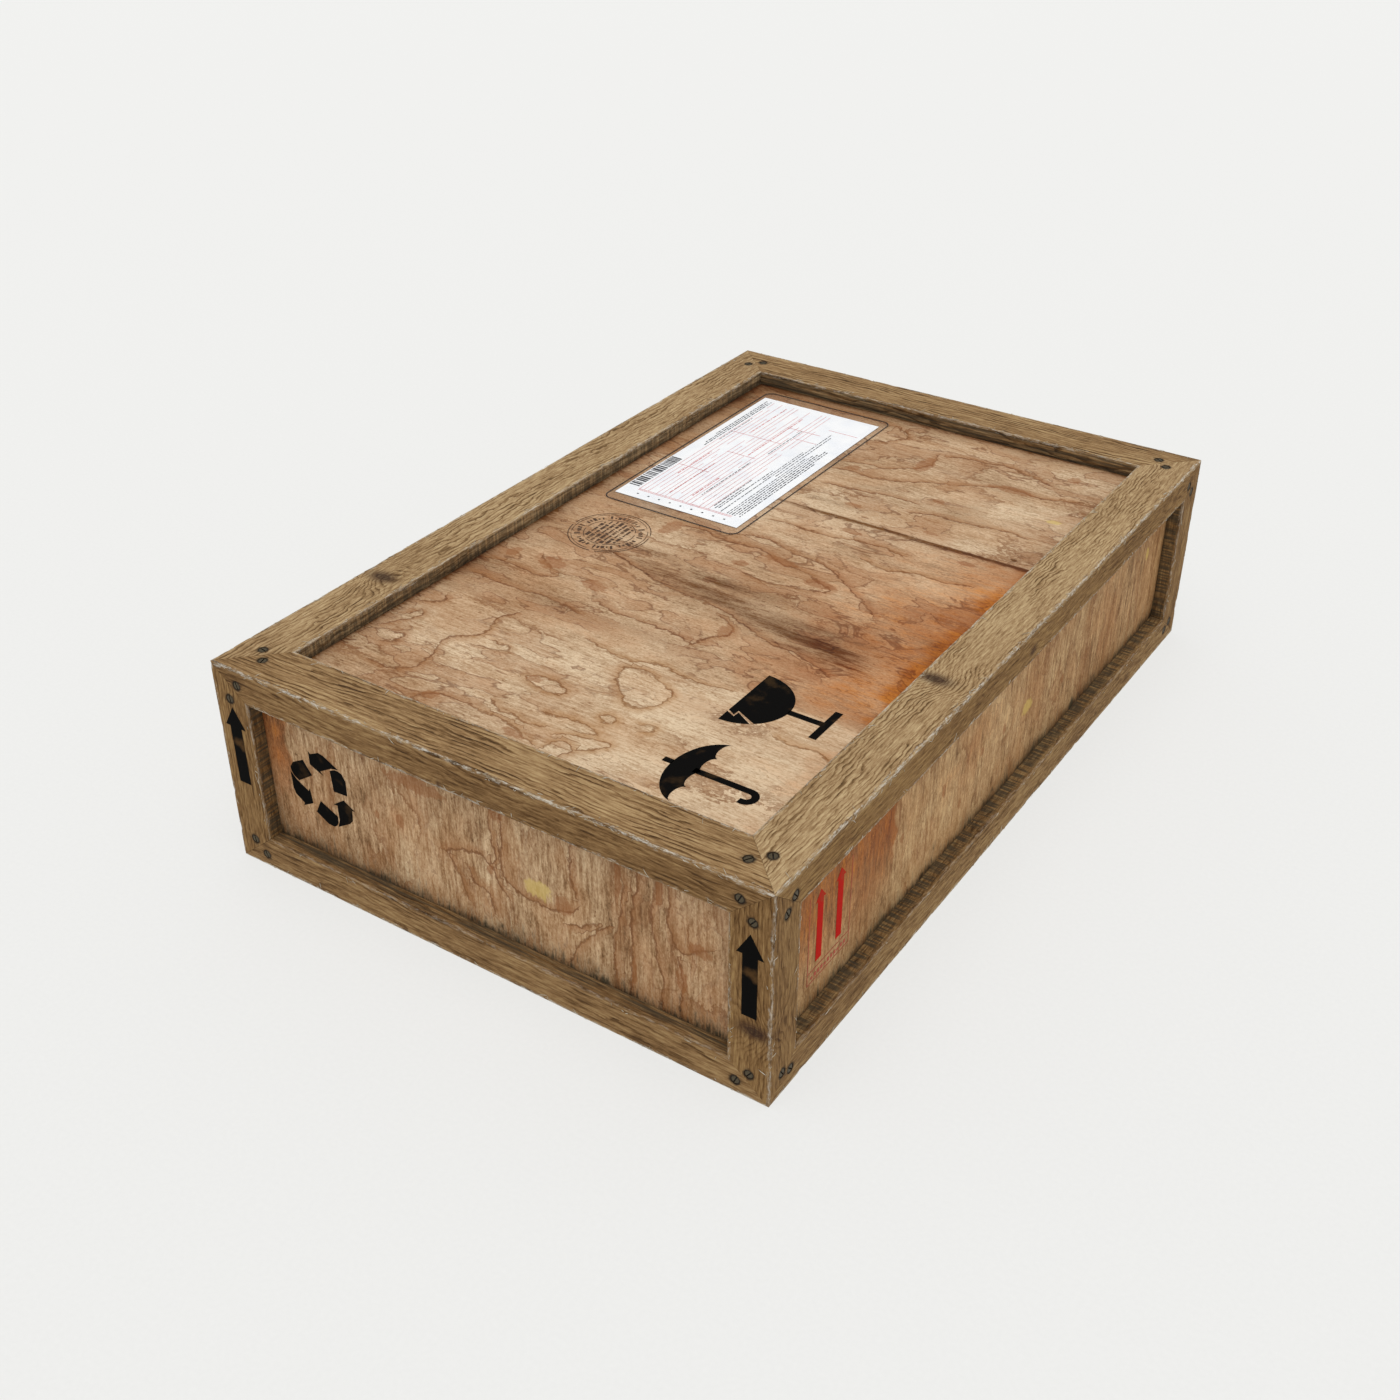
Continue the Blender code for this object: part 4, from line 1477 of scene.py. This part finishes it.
def wall_swirls(z, across, half_span, patch_at):
    """Hills in a wall's figure, so that its contours swirl there."""
    places = (
        (0.140, patch_at + 0.040, 0.018, 0.020, 0.9),
        (0.150, patch_at - 0.070, 0.020, 0.022, 0.8),
        (0.120, patch_at + 0.10, 0.05, 0.035, -0.7),
        (0.155, patch_at - 0.20, 0.03, 0.03, 0.6),
        (0.165, half_span * 0.86, 0.06, 0.03, 0.8),
        (0.095, -half_span * 0.45, 0.04, 0.05, 0.6),
    )
    return bumps(z, across, places)


def wall_grime_and_shade(z, across, half_span, ragged, seed):
    """Dirt and painted shade along a wall's frame, most of all at the foot, and dirt specks above
    it.
    """
    foot, top = RAIL_HEIGHT, HEIGHT - RAIL_HEIGHT
    edge = np.minimum(half_span - np.abs(across), top - z)
    # Darker along the frame and at the foot: dirt and painted shade.
    grime_and_shade = frame_dirt_and_shade(edge, 0.008, 0.42) + frame_dirt_and_shade(z - foot + ragged, 0.018, 0.85)
    specks = face_noise(across, z, 60, 50, seed + 6, 2)
    return grime_and_shade + 0.45 * smooth(specks, 0.75, 1.2) * smooth(-z, -0.12, -0.05)


def wall_values(points, word):
    """A wall: upright grain, a swirl near the patch, dirt and painted shade along the foot, orange
    ends.
    """
    seed, orange_edge, patch_at, patch_half, far_stain = WALLS[word]
    is_front = word == "front"
    x, y, z = points.T
    wide, deep, across, depth = WIDTH, LENGTH, x, y
    if word in ("left", "right"):
        wide, deep, across, depth = LENGTH, WIDTH, y, x
    half_span = wide / 2 - POST_FACE
    outside = (np.abs(depth) > deep / 2 - RECESS - PLY / 2).astype(float)
    figure = 0.8 * face_noise(z, across, 2.4, 10.0, seed, 2)
    figure += wall_swirls(z, across, half_span, patch_at)
    ragged = 0.008 * face_noise(across, z, 30, 30, seed + 4)
    zone = smooth(orange_edge + ragged - across, -0.002, 0.003)
    stain = 0.60 * zone * smooth(z, 0.05, 0.2)
    blush = face_noise(across, z, 8, 7, seed + 8)
    stain += 0.40 * smooth(blush, 0.25, 1.0) * smooth(z, 0.09, 0.23)
    stain += 0.10 if is_front else 0.16
    stain += 0.08 * far_stain * smooth(across, half_span * 0.5, half_span * 0.62)
    tone = 0.06 + 0.2 * blush - 0.15 * zone
    if is_front:
        tone -= 0.17 + 0.20 * smooth(-across, -0.05, 0.08)
    else:
        tone -= 0.20 + 0.16 * smooth(across, 0.1, 0.3)
    patch = patch_distance(z, across, 0.140, patch_at, *patch_half)
    values = {
        "figure": figure,
        "tone": tone,
        "stain": stain * (0.4 + 0.6 * outside),
        "grime_and_shade": wall_grime_and_shade(z, across, half_span, ragged, seed) * (0.5 + 0.5 * outside),
        "patch": patch + NO_PATCH * (1 - outside),
        "age": np.full(len(z), 0.3 if is_front else 0.9),
    }
    if is_front:
        warped = across + 0.003 * face_noise(across, z, 34, 34, 83, 2)
        values["vein"] = stroke_distance(warped, z, FRONT_VEINS)
        values["blot"] = blot_depth(warped, z, FRONT_BLOTS)
    if word == "right":
        values["blot"] = blot_depth(across, z, RIGHT_BLOTS)
        pale = patch_distance(z, across, 0.183, 0.479, 0.012, 0.005)
        values["patch"] = np.minimum(values["patch"], pale + NO_PATCH * (1 - outside))
    return z, across, values


def make_panel(node, step, seed, values_for, material):
    """Builds and paints a panel. Its values come with the grain's two coordinates."""
    mesh = slab_mesh(node, *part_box(node), step, seed)
    along, across, values = values_for(mesh_points(mesh))
    paint_panel(mesh, along, across, seed, values)
    obj = make_object("veneer_" + node, mesh, material)
    shade(mesh, 40)
    stand_for(obj, node)


def make_panels(material):
    make_panel("lid_panel", PANEL_STEP, 51, lid_values, material)
    make_panel("base_panel", HIDDEN_PANEL_STEP, 53, base_values, material)
    for word, (seed, *_others) in WALLS.items():
        values_for = functools.partial(wall_values, word=word)
        make_panel("wall_panel_" + word, PANEL_STEP, seed, values_for, material)


# Marks --------------------------------------------------------------------------------

PAINT_LIFT = 0.00006
PAINT_THICKNESS = 0.00012


def arc(centre, radius, start, stop, steps, squash=1.0):
    """Points on an arc, its angles in degrees. Squash flattens it up and down."""
    points = []
    for step in range(steps + 1):
        angle = math.radians(start + (stop - start) * step / steps)
        x = centre[0] + radius * math.cos(angle)
        y = centre[1] + radius * squash * math.sin(angle)
        points.append((x, y))
    return points


def rectangle(left, bottom, right, top):
    return [(left, bottom), (right, bottom), (right, top), (left, top)]


def add_sheet(bm, outline, slot=0, low=0.0, thickness=PAINT_THICKNESS):
    """Adds a thin closed sheet over the outline. The outline lies in XY."""
    base = bm.faces.new([bm.verts.new((x, y, low)) for x, y in outline])
    base.normal_update()
    if base.normal.z > 0:
        base.normal_flip()
    base.material_index = slot
    grown = bmesh.ops.extrude_face_region(bm, geom=[base], use_keep_orig=True)["geom"]
    moved = [item for item in grown if isinstance(item, bmesh.types.BMVert)]
    bmesh.ops.translate(bm, verts=moved, vec=(0, 0, thickness))
    for item in grown:
        if isinstance(item, bmesh.types.BMFace):
            item.material_index = slot


def make_mark(name, outlines, place, body, material):
    """A painted mark of several thin sheets, set on a face by the place matrix."""
    bm = bmesh.new()
    for outline in outlines:
        add_sheet(bm, outline)
    bmesh.ops.triangulate(bm, faces=[face for face in bm.faces if len(face.verts) > 4])
    obj = make_object(name, mesh_from(bm, name), material)
    obj.matrix_world = place
    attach(obj, body)


def face_place(origin, right, up):
    """The matrix of a flat mark: its X runs right, its Y up, its Z out of the face."""
    right, up = Vector(right), Vector(up)
    out = right.cross(up)
    matrix = Matrix((right, up, out)).transposed().to_4x4()
    matrix.translation = Vector(origin) + out * PAINT_LIFT
    return matrix


def glass_sheets():
    """A broken wine glass: rim at the top, stem and foot below, a crack on the left."""
    half, deep = 0.056, 0.0617
    crack = ((-0.0347, 0), (-0.0403, -0.0112), (-0.0307, -0.0119), (-0.0440, -0.0382))
    gap_x, gap_y = 0.0017, 0.0010
    bowl = arc((0, 0), half, 0, -139.5, 28, deep / half)
    bowl += [(x + gap_x, y + gap_y if y else 0) for x, y in crack[-2::-1]]
    shard = arc((0, 0), half, 180, 215.5, 6, deep / half)
    shard += [(x - gap_x, y - gap_y if y else 0) for x, y in crack[-2::-1]]
    stem = rectangle(-0.0045, -0.106, 0.0045, -deep + 0.0012)
    foot = rectangle(-0.0315, -0.1155, 0.0315, -0.1055)
    return [bowl, shard, stem, foot]


def umbrella_sheets():
    """An open umbrella, its ferrule on top and its handle hooked to the left."""
    half, rise, drop = 0.0625, 0.0395, 0.0065
    radius = half / math.cos(math.radians(8))
    dome = arc((0, -drop), radius, 8, 172, 28, (rise + drop) / radius)
    quarter = half / 2
    scallops = []
    for index in range(4):
        centre = (-half + quarter * (index + 0.5), 0)
        scallops += arc(centre, quarter / 2, 180, 0, 8, 0.50)[: None if index == 3 else -1]
    canopy = dome + scallops[1:-1]
    ferrule = rectangle(-0.0042, rise - 0.001, 0.0042, rise + 0.0115)
    bend = (-0.0101, -0.0642)
    shaft = rectangle(-0.0046, bend[1], 0.0044, 0.0105)
    hook = arc(bend, 0.0145, 0, -180, 16) + arc(bend, 0.0055, -180, 0, 12)
    stub = rectangle(bend[0] - 0.0145, bend[1], bend[0] - 0.0055, bend[1] + 0.0040)
    return [canopy, ferrule, shaft, hook, stub]


def arrow_sheets(height, head_height, head_half, shaft_half):
    """An upright arrow whose tip is at the origin."""
    outline = [
        (0, 0),
        (-head_half, -head_height),
        (-shaft_half, -head_height),
        (-shaft_half, -height),
        (shaft_half, -height),
        (shaft_half, -head_height),
        (head_half, -head_height),
    ]
    return [outline]


def recycle_sheets():
    """Three folded arrows that chase each other: one arrow, turned twice."""
    head = metres(
        (
            (34.6, -2.6), (16.7, -15.6), (22.8, -14.9), (23.1, -37.2), (19.5, -48.5),
            (40.4, -35.3), (45.9, -28.8), (46.9, -13.1), (51.5, -12.4),
        )
    )
    band = metres(
        (
            (-5.8, -19.9), (-15.4, -39.7), (2.6, -50.6), (12.8, -51.0), (17.4, -47.4),
            (20.2, -42.3), (21.0, -32.7),
        )
    )
    sheets = []
    for turn in (0, 120, 240):
        cosine, sine = math.cos(math.radians(turn)), math.sin(math.radians(turn))
        for outline in (head, band):
            sheets.append([(x * cosine - y * sine, x * sine + y * cosine) for x, y in outline])
    return sheets


def ring_sheets(radius, width, pieces, skip):
    """A thin ring in short arcs. Every skip-th arc is left out, where ink is missing."""
    sheets = []
    step = 360 / pieces
    for index in range(pieces):
        if index % skip == skip - 1:
            continue
        start, stop = index * step, (index + 1) * step
        outer = arc((0, 0), radius, start, stop, 3)
        inner = arc((0, 0), radius - width, stop, start, 3)
        sheets.append(outer + inner)
    return sheets


def tick_sheets():
    """A circle of ticks, in the place of the stamp's lettering."""
    sheets = []
    for index in range(46):
        if index % 6 == 5:
            continue
        angle = math.tau * index / 46
        direction = Vector((math.cos(angle), math.sin(angle)))
        sideways = Vector((-direction.y, direction.x)) * (0.0010 + 0.0006 * (index % 3))
        inner = direction * (0.0405 + 0.0012 * (index % 2))
        outer = direction * (0.0490 - 0.0014 * (index % 4))
        corners = (inner - sideways, inner + sideways, outer + sideways, outer - sideways)
        sheets.append([tuple(corner) for corner in corners])
    return sheets


def bar_sheets():
    """Rows of short bars that fill the stamp's middle."""
    sheets = []
    for row in range(-3, 4):
        y = row * 0.0078
        reach = math.sqrt(0.033**2 - y**2)
        x = -reach
        step = 0
        while x < reach - 0.002:
            width = 0.0020 + 0.0022 * ((step * 7 + row * 3) % 5)
            right = min(x + width, reach)
            tall = 0.0011 + 0.0005 * ((step * 5 + row) % 4)
            sheets.append(rectangle(x, y - tall, right, y + tall))
            x = right + 0.0016 + 0.0012 * ((step + row) % 2)
            step += 1
    return sheets


def stamp_sheets():
    """A generic round ink mark: rings, a circle of ticks and bars across the middle."""
    rings = ((0.058, 0.0012, 48, 13), (0.0535, 0.0008, 40, 7), (0.0365, 0.0010, 36, 5))
    sheets = []
    for ring in rings:
        sheets += ring_sheets(*ring)
    return sheets + tick_sheets() + bar_sheets()


def handling_frame_sheets():
    """The thin frame below the red arrows, with strokes in the place of its lettering."""
    half_w, half_h, line = 0.0462, 0.062, 0.0011
    ledge, first, foot = -half_h + 0.016, -half_w + 0.008, -half_h + 0.005
    sheets = [
        rectangle(-half_w, -half_h, -half_w + line, half_h),
        rectangle(half_w - line, -half_h, half_w, half_h),
        rectangle(-half_w, -half_h, half_w, -half_h + line),
        rectangle(-half_w, ledge, half_w, ledge + line),
    ]
    for index in range(11):
        left = first + index * 0.0072
        height = 0.0055 if index % 4 else 0.0035
        sheets.append(rectangle(left, foot, left + 0.0045, foot + height))
    return sheets


def make_lid_marks(black):
    ink = paint_material("stamp_ink", srgb(84, 66, 54), srgb(138, 108, 82), 0.9)
    marks = (
        ("mark_broken_glass", (0.161, -0.287), glass_sheets(), black),
        ("mark_umbrella", (0.205, -0.443), umbrella_sheets(), black),
        ("mark_round_stamp", (-0.218, -0.037), stamp_sheets(), ink),
    )
    for name, spot, sheets, material in marks:
        place = face_place((*spot, PANEL_TOP), (0, 1, 0), (-1, 0, 0))
        make_mark(name, sheets, place, "lid", material)


def make_front_marks(black, worn_black):
    front, right, up = -LENGTH / 2, (1, 0, 0), (0, 0, 1)
    arrow = arrow_sheets(0.112, 0.029, 0.0167, 0.0094)
    for word, x, tip in (("left", -0.368, 0.235), ("right", 0.3677, 0.230)):
        place = face_place((x, front, tip), right, up)
        make_mark(f"mark_black_arrow_{word}", arrow, place, "crate", worn_black)
    place = face_place((-0.2552, front + RECESS, 0.1458), right, up)
    make_mark("mark_recycling_arrows", recycle_sheets(), place, "crate", black)


def make_side_marks(red, pink):
    wall, right, up = WIDTH / 2 - RECESS, (0, 1, 0), (0, 0, 1)
    arrow = arrow_sheets(0.098, 0.014, 0.0108, 0.0062)
    for word, y in (("first", -0.4677), ("second", -0.4238)):
        place = face_place((wall, y, 0.2015), right, up)
        make_mark(f"mark_red_arrow_{word}", arrow, place, "crate", red)
    place = face_place((wall, -0.4447, 0.140), right, up)
    make_mark("mark_red_frame", handling_frame_sheets(), place, "crate", pink)


def make_marks():
    soot = srgb(10, 9, 8)
    black = paint_material("black_stencil", soot, srgb(58, 42, 24), 0.75)
    worn_black = paint_material("worn_black_stencil", soot, srgb(84, 60, 34), 0.85, rub_at=0.050)
    red = paint_material("red_stencil", srgb(186, 30, 22), srgb(150, 72, 44), 0.6)
    pink = paint_material("faded_red_stencil", srgb(176, 92, 76), srgb(160, 116, 84), 0.8)
    make_lid_marks(black)
    make_front_marks(black, worn_black)
    make_side_marks(red, pink)


# Label and pocket ---------------------------------------------------------------------

# The two inks of the label, as slots of its material list.
RED, BLACK = 0, 1
PRINT_THICKNESS = 0.00005
RULE_WIDTH = 0.0007
CROSS_RULE_WIDTH = 0.0010

# Across the ruled lines, as (place along the label, from, to).
CROSS_LINES = (
    (0.026, 0.024, 0.184), (0.023, 0.024, 0.184), (0.128, 0.024, 0.075),
    (0.205, 0.060, 0.110), (0.272, 0.024, 0.118), (0.330, 0.090, 0.150),
    (0.356, 0.150, 0.200), (0.300, 0.120, 0.160),
)
# Rows of dashes in the place of writing, as (place, start, stop, height).
BLACK_ROWS = (
    (0.0100, 0.250, 0.400, 0.0019), (0.0140, 0.215, 0.395, 0.0019),
    (0.0180, 0.205, 0.400, 0.0018), (0.0260, 0.235, 0.330, 0.0012),
    (0.1100, 0.060, 0.190, 0.0016), (0.1165, 0.230, 0.330, 0.0014),
    (0.1440, 0.040, 0.140, 0.0016), (0.1490, 0.034, 0.110, 0.0016),
    (0.1530, 0.038, 0.185, 0.0016), (0.1575, 0.150, 0.265, 0.0014),
    (0.1615, 0.030, 0.345, 0.0015), (0.1665, 0.170, 0.335, 0.0015),
    (0.1720, 0.030, 0.250, 0.0014), (0.1760, 0.030, 0.262, 0.0014),
    (0.1802, 0.030, 0.270, 0.0018), (0.1844, 0.030, 0.285, 0.0018),
    (0.1886, 0.036, 0.285, 0.0018), (0.1928, 0.030, 0.240, 0.0018),
)
RED_ROWS = (
    (0.0405, 0.10, 0.19, 0.0018), (0.067, 0.04, 0.16, 0.0018), (0.0935, 0.21, 0.37, 0.0018),
    (0.100, 0.05, 0.12, 0.0018), (0.052, 0.28, 0.39, 0.0018),
)


def ruled_lines(random):
    """The ruled form: long lines, some of them short or broken, and cross lines."""
    outlines = []
    for index in range(17):
        left = 0.024 + index * 0.0074
        right = left + RULE_WIDTH
        start = 0.027 + 0.02 * (index % 5 == 3)
        stop = 0.400 - 0.06 * ((index * 7) % 4 == 1)
        if index % 6 == 4:
            stop = start + 0.16
        gap = 0.10 + 0.28 * random.random()
        outlines.append(rectangle(left, start, right, min(gap, stop)))
        if gap + 0.03 < stop:
            outlines.append(rectangle(left, gap + 0.025 * random.random(), right, stop))
    for across, left, right in CROSS_LINES:
        outlines.append(rectangle(left, across, right, across + CROSS_RULE_WIDTH))
    return outlines


def dashes(random, rows):
    """Short dashes along each row, in the place of lines of writing."""
    outlines = []
    for left, start, stop, height in rows:
        place = start
        while place < stop:
            length = min(0.002 + random.random() * 0.008, stop - place)
            outlines.append(rectangle(left, place, left + height, place + length))
            place += length + 0.001 + random.random() * 0.002
    return outlines


def bar_pattern(random):
    """A strip of ticks and a block of bars of random widths, which say nothing."""
    outlines = []
    for index in range(9):
        left = 0.030 + index * 0.0185
        outlines.append(rectangle(left, 0.0110, left + 0.0030, 0.0140))
    place = 0.0325
    while place < 0.141:
        bar = 0.0020 + 0.0052 * random.random() ** 2
        outlines.append(rectangle(0.0015, place, 0.0195, place + bar))
        place += bar + 0.0012 + 0.0026 * random.random() ** 2
    return outlines


def make_label_sheet():
    low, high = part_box("label")
    mesh = slab_mesh("label_sheet", low, high, LABEL_STEP, 91)
    flat = mesh_points(mesh)
    middle = (low.z + high.z) / 2
    flat[:, 2] = np.where(flat[:, 2] > middle, high.z, low.z)
    mesh.vertices.foreach_set("co", flat.astype(np.float32).ravel())
    stand_for(make_object("label_sheet", mesh, paper_material()), "label")


def make_label_print():
    """The label's ruled form, rows of dashes, tick strip and bar pattern."""
    red = ink_material("red_print", srgb(196, 70, 70), srgb(226, 150, 150))
    black = ink_material("black_print", srgb(14, 14, 22), srgb(58, 60, 74))
    random = np.random.default_rng(4)
    prints = (
        (RED, ruled_lines(random)),
        (BLACK, dashes(random, BLACK_ROWS)),
        (RED, dashes(random, RED_ROWS)),
        (BLACK, bar_pattern(random)),
    )
    low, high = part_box("label")
    bm = bmesh.new()
    for ink, outlines in prints:
        for outline in outlines:
            placed = [(low.x + x, low.y + y) for x, y in outline]
            add_sheet(bm, placed, ink, high.z + PAINT_LIFT / 2, PRINT_THICKNESS)
    printed = make_object("label_print", mesh_from(bm, "label_print"), red, black)
    ride_with(printed, "label")


# The pocket: its corners' radius, and the bead of its sealed rim.
POCKET_CORNER = 0.015
RIM_INSET = 0.0008
RIM_WIDTH = 0.0016
RIM_HEIGHT = 0.00035
RIM_LIFT = 0.0004


def pocket_ring(bm, inset, radius, height):
    """A ring of vertices: the pocket's outline moved in, with round corners."""
    low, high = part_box("label_pocket")
    centre = ((low.x + high.x) / 2, (low.y + high.y) / 2)
    half_x = (high.x - low.x - 2 * inset) / 2 - radius
    half_y = (high.y - low.y - 2 * inset) / 2 - radius
    ring = []
    for side_x, side_y, start in ((1, 1, 0), (-1, 1, 90), (-1, -1, 180), (1, -1, 270)):
        corner = (centre[0] + side_x * half_x, centre[1] + side_y * half_y)
        for x, y in arc(corner, radius, start, start + 90, 8):
            ring.append(bm.verts.new((x, y, height)))
    return ring


def make_pocket_film():
    """Clear film laid over the label: an upper and a lower skin, joined at the edge."""
    low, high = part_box("label_pocket")
    levels = (
        (0.0, low.z),
        (0.0, low.z + 0.0003),
        (0.007, high.z),
        (0.0075, high.z - 0.0003),
        (0.0008, low.z + 0.00005),
    )
    bm = bmesh.new()
    rings = []
    for inset, height in levels:
        rings.append(pocket_ring(bm, inset, POCKET_CORNER - inset / 2, height))
    for first, second in ((0, 1), (1, 2), (3, 4), (4, 0)):
        bridge(bm, rings[first], rings[second])
    bm.faces.new(rings[2])
    bm.faces.new(reversed(rings[3]))
    film = make_object("pocket_film", mesh_from(bm, "pocket_film"), film_material())
    stand_for(film, "label_pocket")


def make_pocket_rim():
    """The dark bead along the pocket's sealed edge."""
    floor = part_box("label_pocket")[0].z + RIM_LIFT
    bm = bmesh.new()
    rings = []
    for inset, height in ((0, 0), (0, RIM_HEIGHT), (RIM_WIDTH, RIM_HEIGHT), (RIM_WIDTH, 0)):
        inset += RIM_INSET
        rings.append(pocket_ring(bm, inset, POCKET_CORNER - inset, floor + height))
    for first, second in zip(rings, rings[1:] + rings[:1]):
        bridge(bm, first, second)
    ink = ink_material("pocket_rim", srgb(30, 20, 14), srgb(64, 44, 30))
    rim = make_object("pocket_rim", mesh_from(bm, "pocket_rim"), ink)
    ride_with(rim, "label_pocket")


# Stage --------------------------------------------------------------------------------

FLOOR_SIZE = 40.0
FLOOR_DROP = 0.0005
FLOOR_GLOW = 0.80
SKY_STRENGTH = 0.62
SUN_STRENGTH = 1.35
SUN_SPREAD = math.radians(60)
SUN_TILT = (math.radians(14), math.radians(8), 0)


def make_floor():
    """A pale floor that runs past the frame."""
    bm = bmesh.new()
    bmesh.ops.create_grid(bm, x_segments=8, y_segments=8, size=FLOOR_SIZE)
    s = Shader("pale_floor")
    grain = s.noise(s.local(), (180, 180, 180), 3)
    colour = s.mix(grain, srgb(112, 112, 111), srgb(116, 116, 115))
    glow = s.mix(grain, srgb(235, 235, 233), srgb(239, 239, 237))
    material = s.finish(colour, 0.95, Emission_Color=glow, Emission_Strength=FLOOR_GLOW)
    floor = make_object("floor", mesh_from(bm, "floor"), material)
    floor.location.z = -FLOOR_DROP


def make_world():
    """White light from all round, and a pale backdrop that only the camera sees."""
    world = bpy.data.worlds.new("studio")
    world.use_nodes = True
    tree = world.node_tree
    light = tree.nodes["Background"]
    light.inputs["Color"].default_value = (1, 1, 1, 1)
    light.inputs["Strength"].default_value = SKY_STRENGTH
    backdrop = tree.nodes.new("ShaderNodeBackground")
    backdrop.inputs["Color"].default_value = srgb(238, 238, 236)
    choice = tree.nodes.new("ShaderNodeMixShader")
    ray = tree.nodes.new("ShaderNodeLightPath")
    tree.links.new(ray.outputs["Is Camera Ray"], choice.inputs["Fac"])
    tree.links.new(light.outputs["Background"], choice.inputs[1])
    tree.links.new(backdrop.outputs["Background"], choice.inputs[2])
    tree.links.new(choice.outputs["Shader"], tree.nodes["World Output"].inputs["Surface"])
    bpy.context.scene.world = world


def make_sun():
    """Soft light from above, a little from one side."""
    sun = bpy.data.lights.new("overhead", "SUN")
    sun.energy = SUN_STRENGTH
    sun.angle = SUN_SPREAD
    lamp = bpy.data.objects.new("overhead", sun)
    lamp.rotation_euler = SUN_TILT
    bpy.context.scene.collection.objects.link(lamp)


def make_camera():
    lens = bpy.data.cameras.new("camera")
    lens.sensor_width = 36
    lens.lens = CAMERA_LENS
    lens.clip_end = 100
    camera = bpy.data.objects.new("camera", lens)
    camera.location = CAMERA_PLACE
    camera.rotation_euler = Vector(CAMERA_AIM).to_track_quat("-Z", "Y").to_euler()
    bpy.context.scene.collection.objects.link(camera)
    bpy.context.scene.camera = camera
    bpy.context.scene.view_settings.view_transform = "Standard"


screws = find_screws()
make_timbers(screws, (timber_material(), frayed_material()))
make_screws(screws, steel_material())
make_panels(plywood_material())
make_marks()
make_label_sheet()
make_label_print()
make_pocket_film()
make_pocket_rim()
make_floor()
make_world()
make_sun()
make_camera()
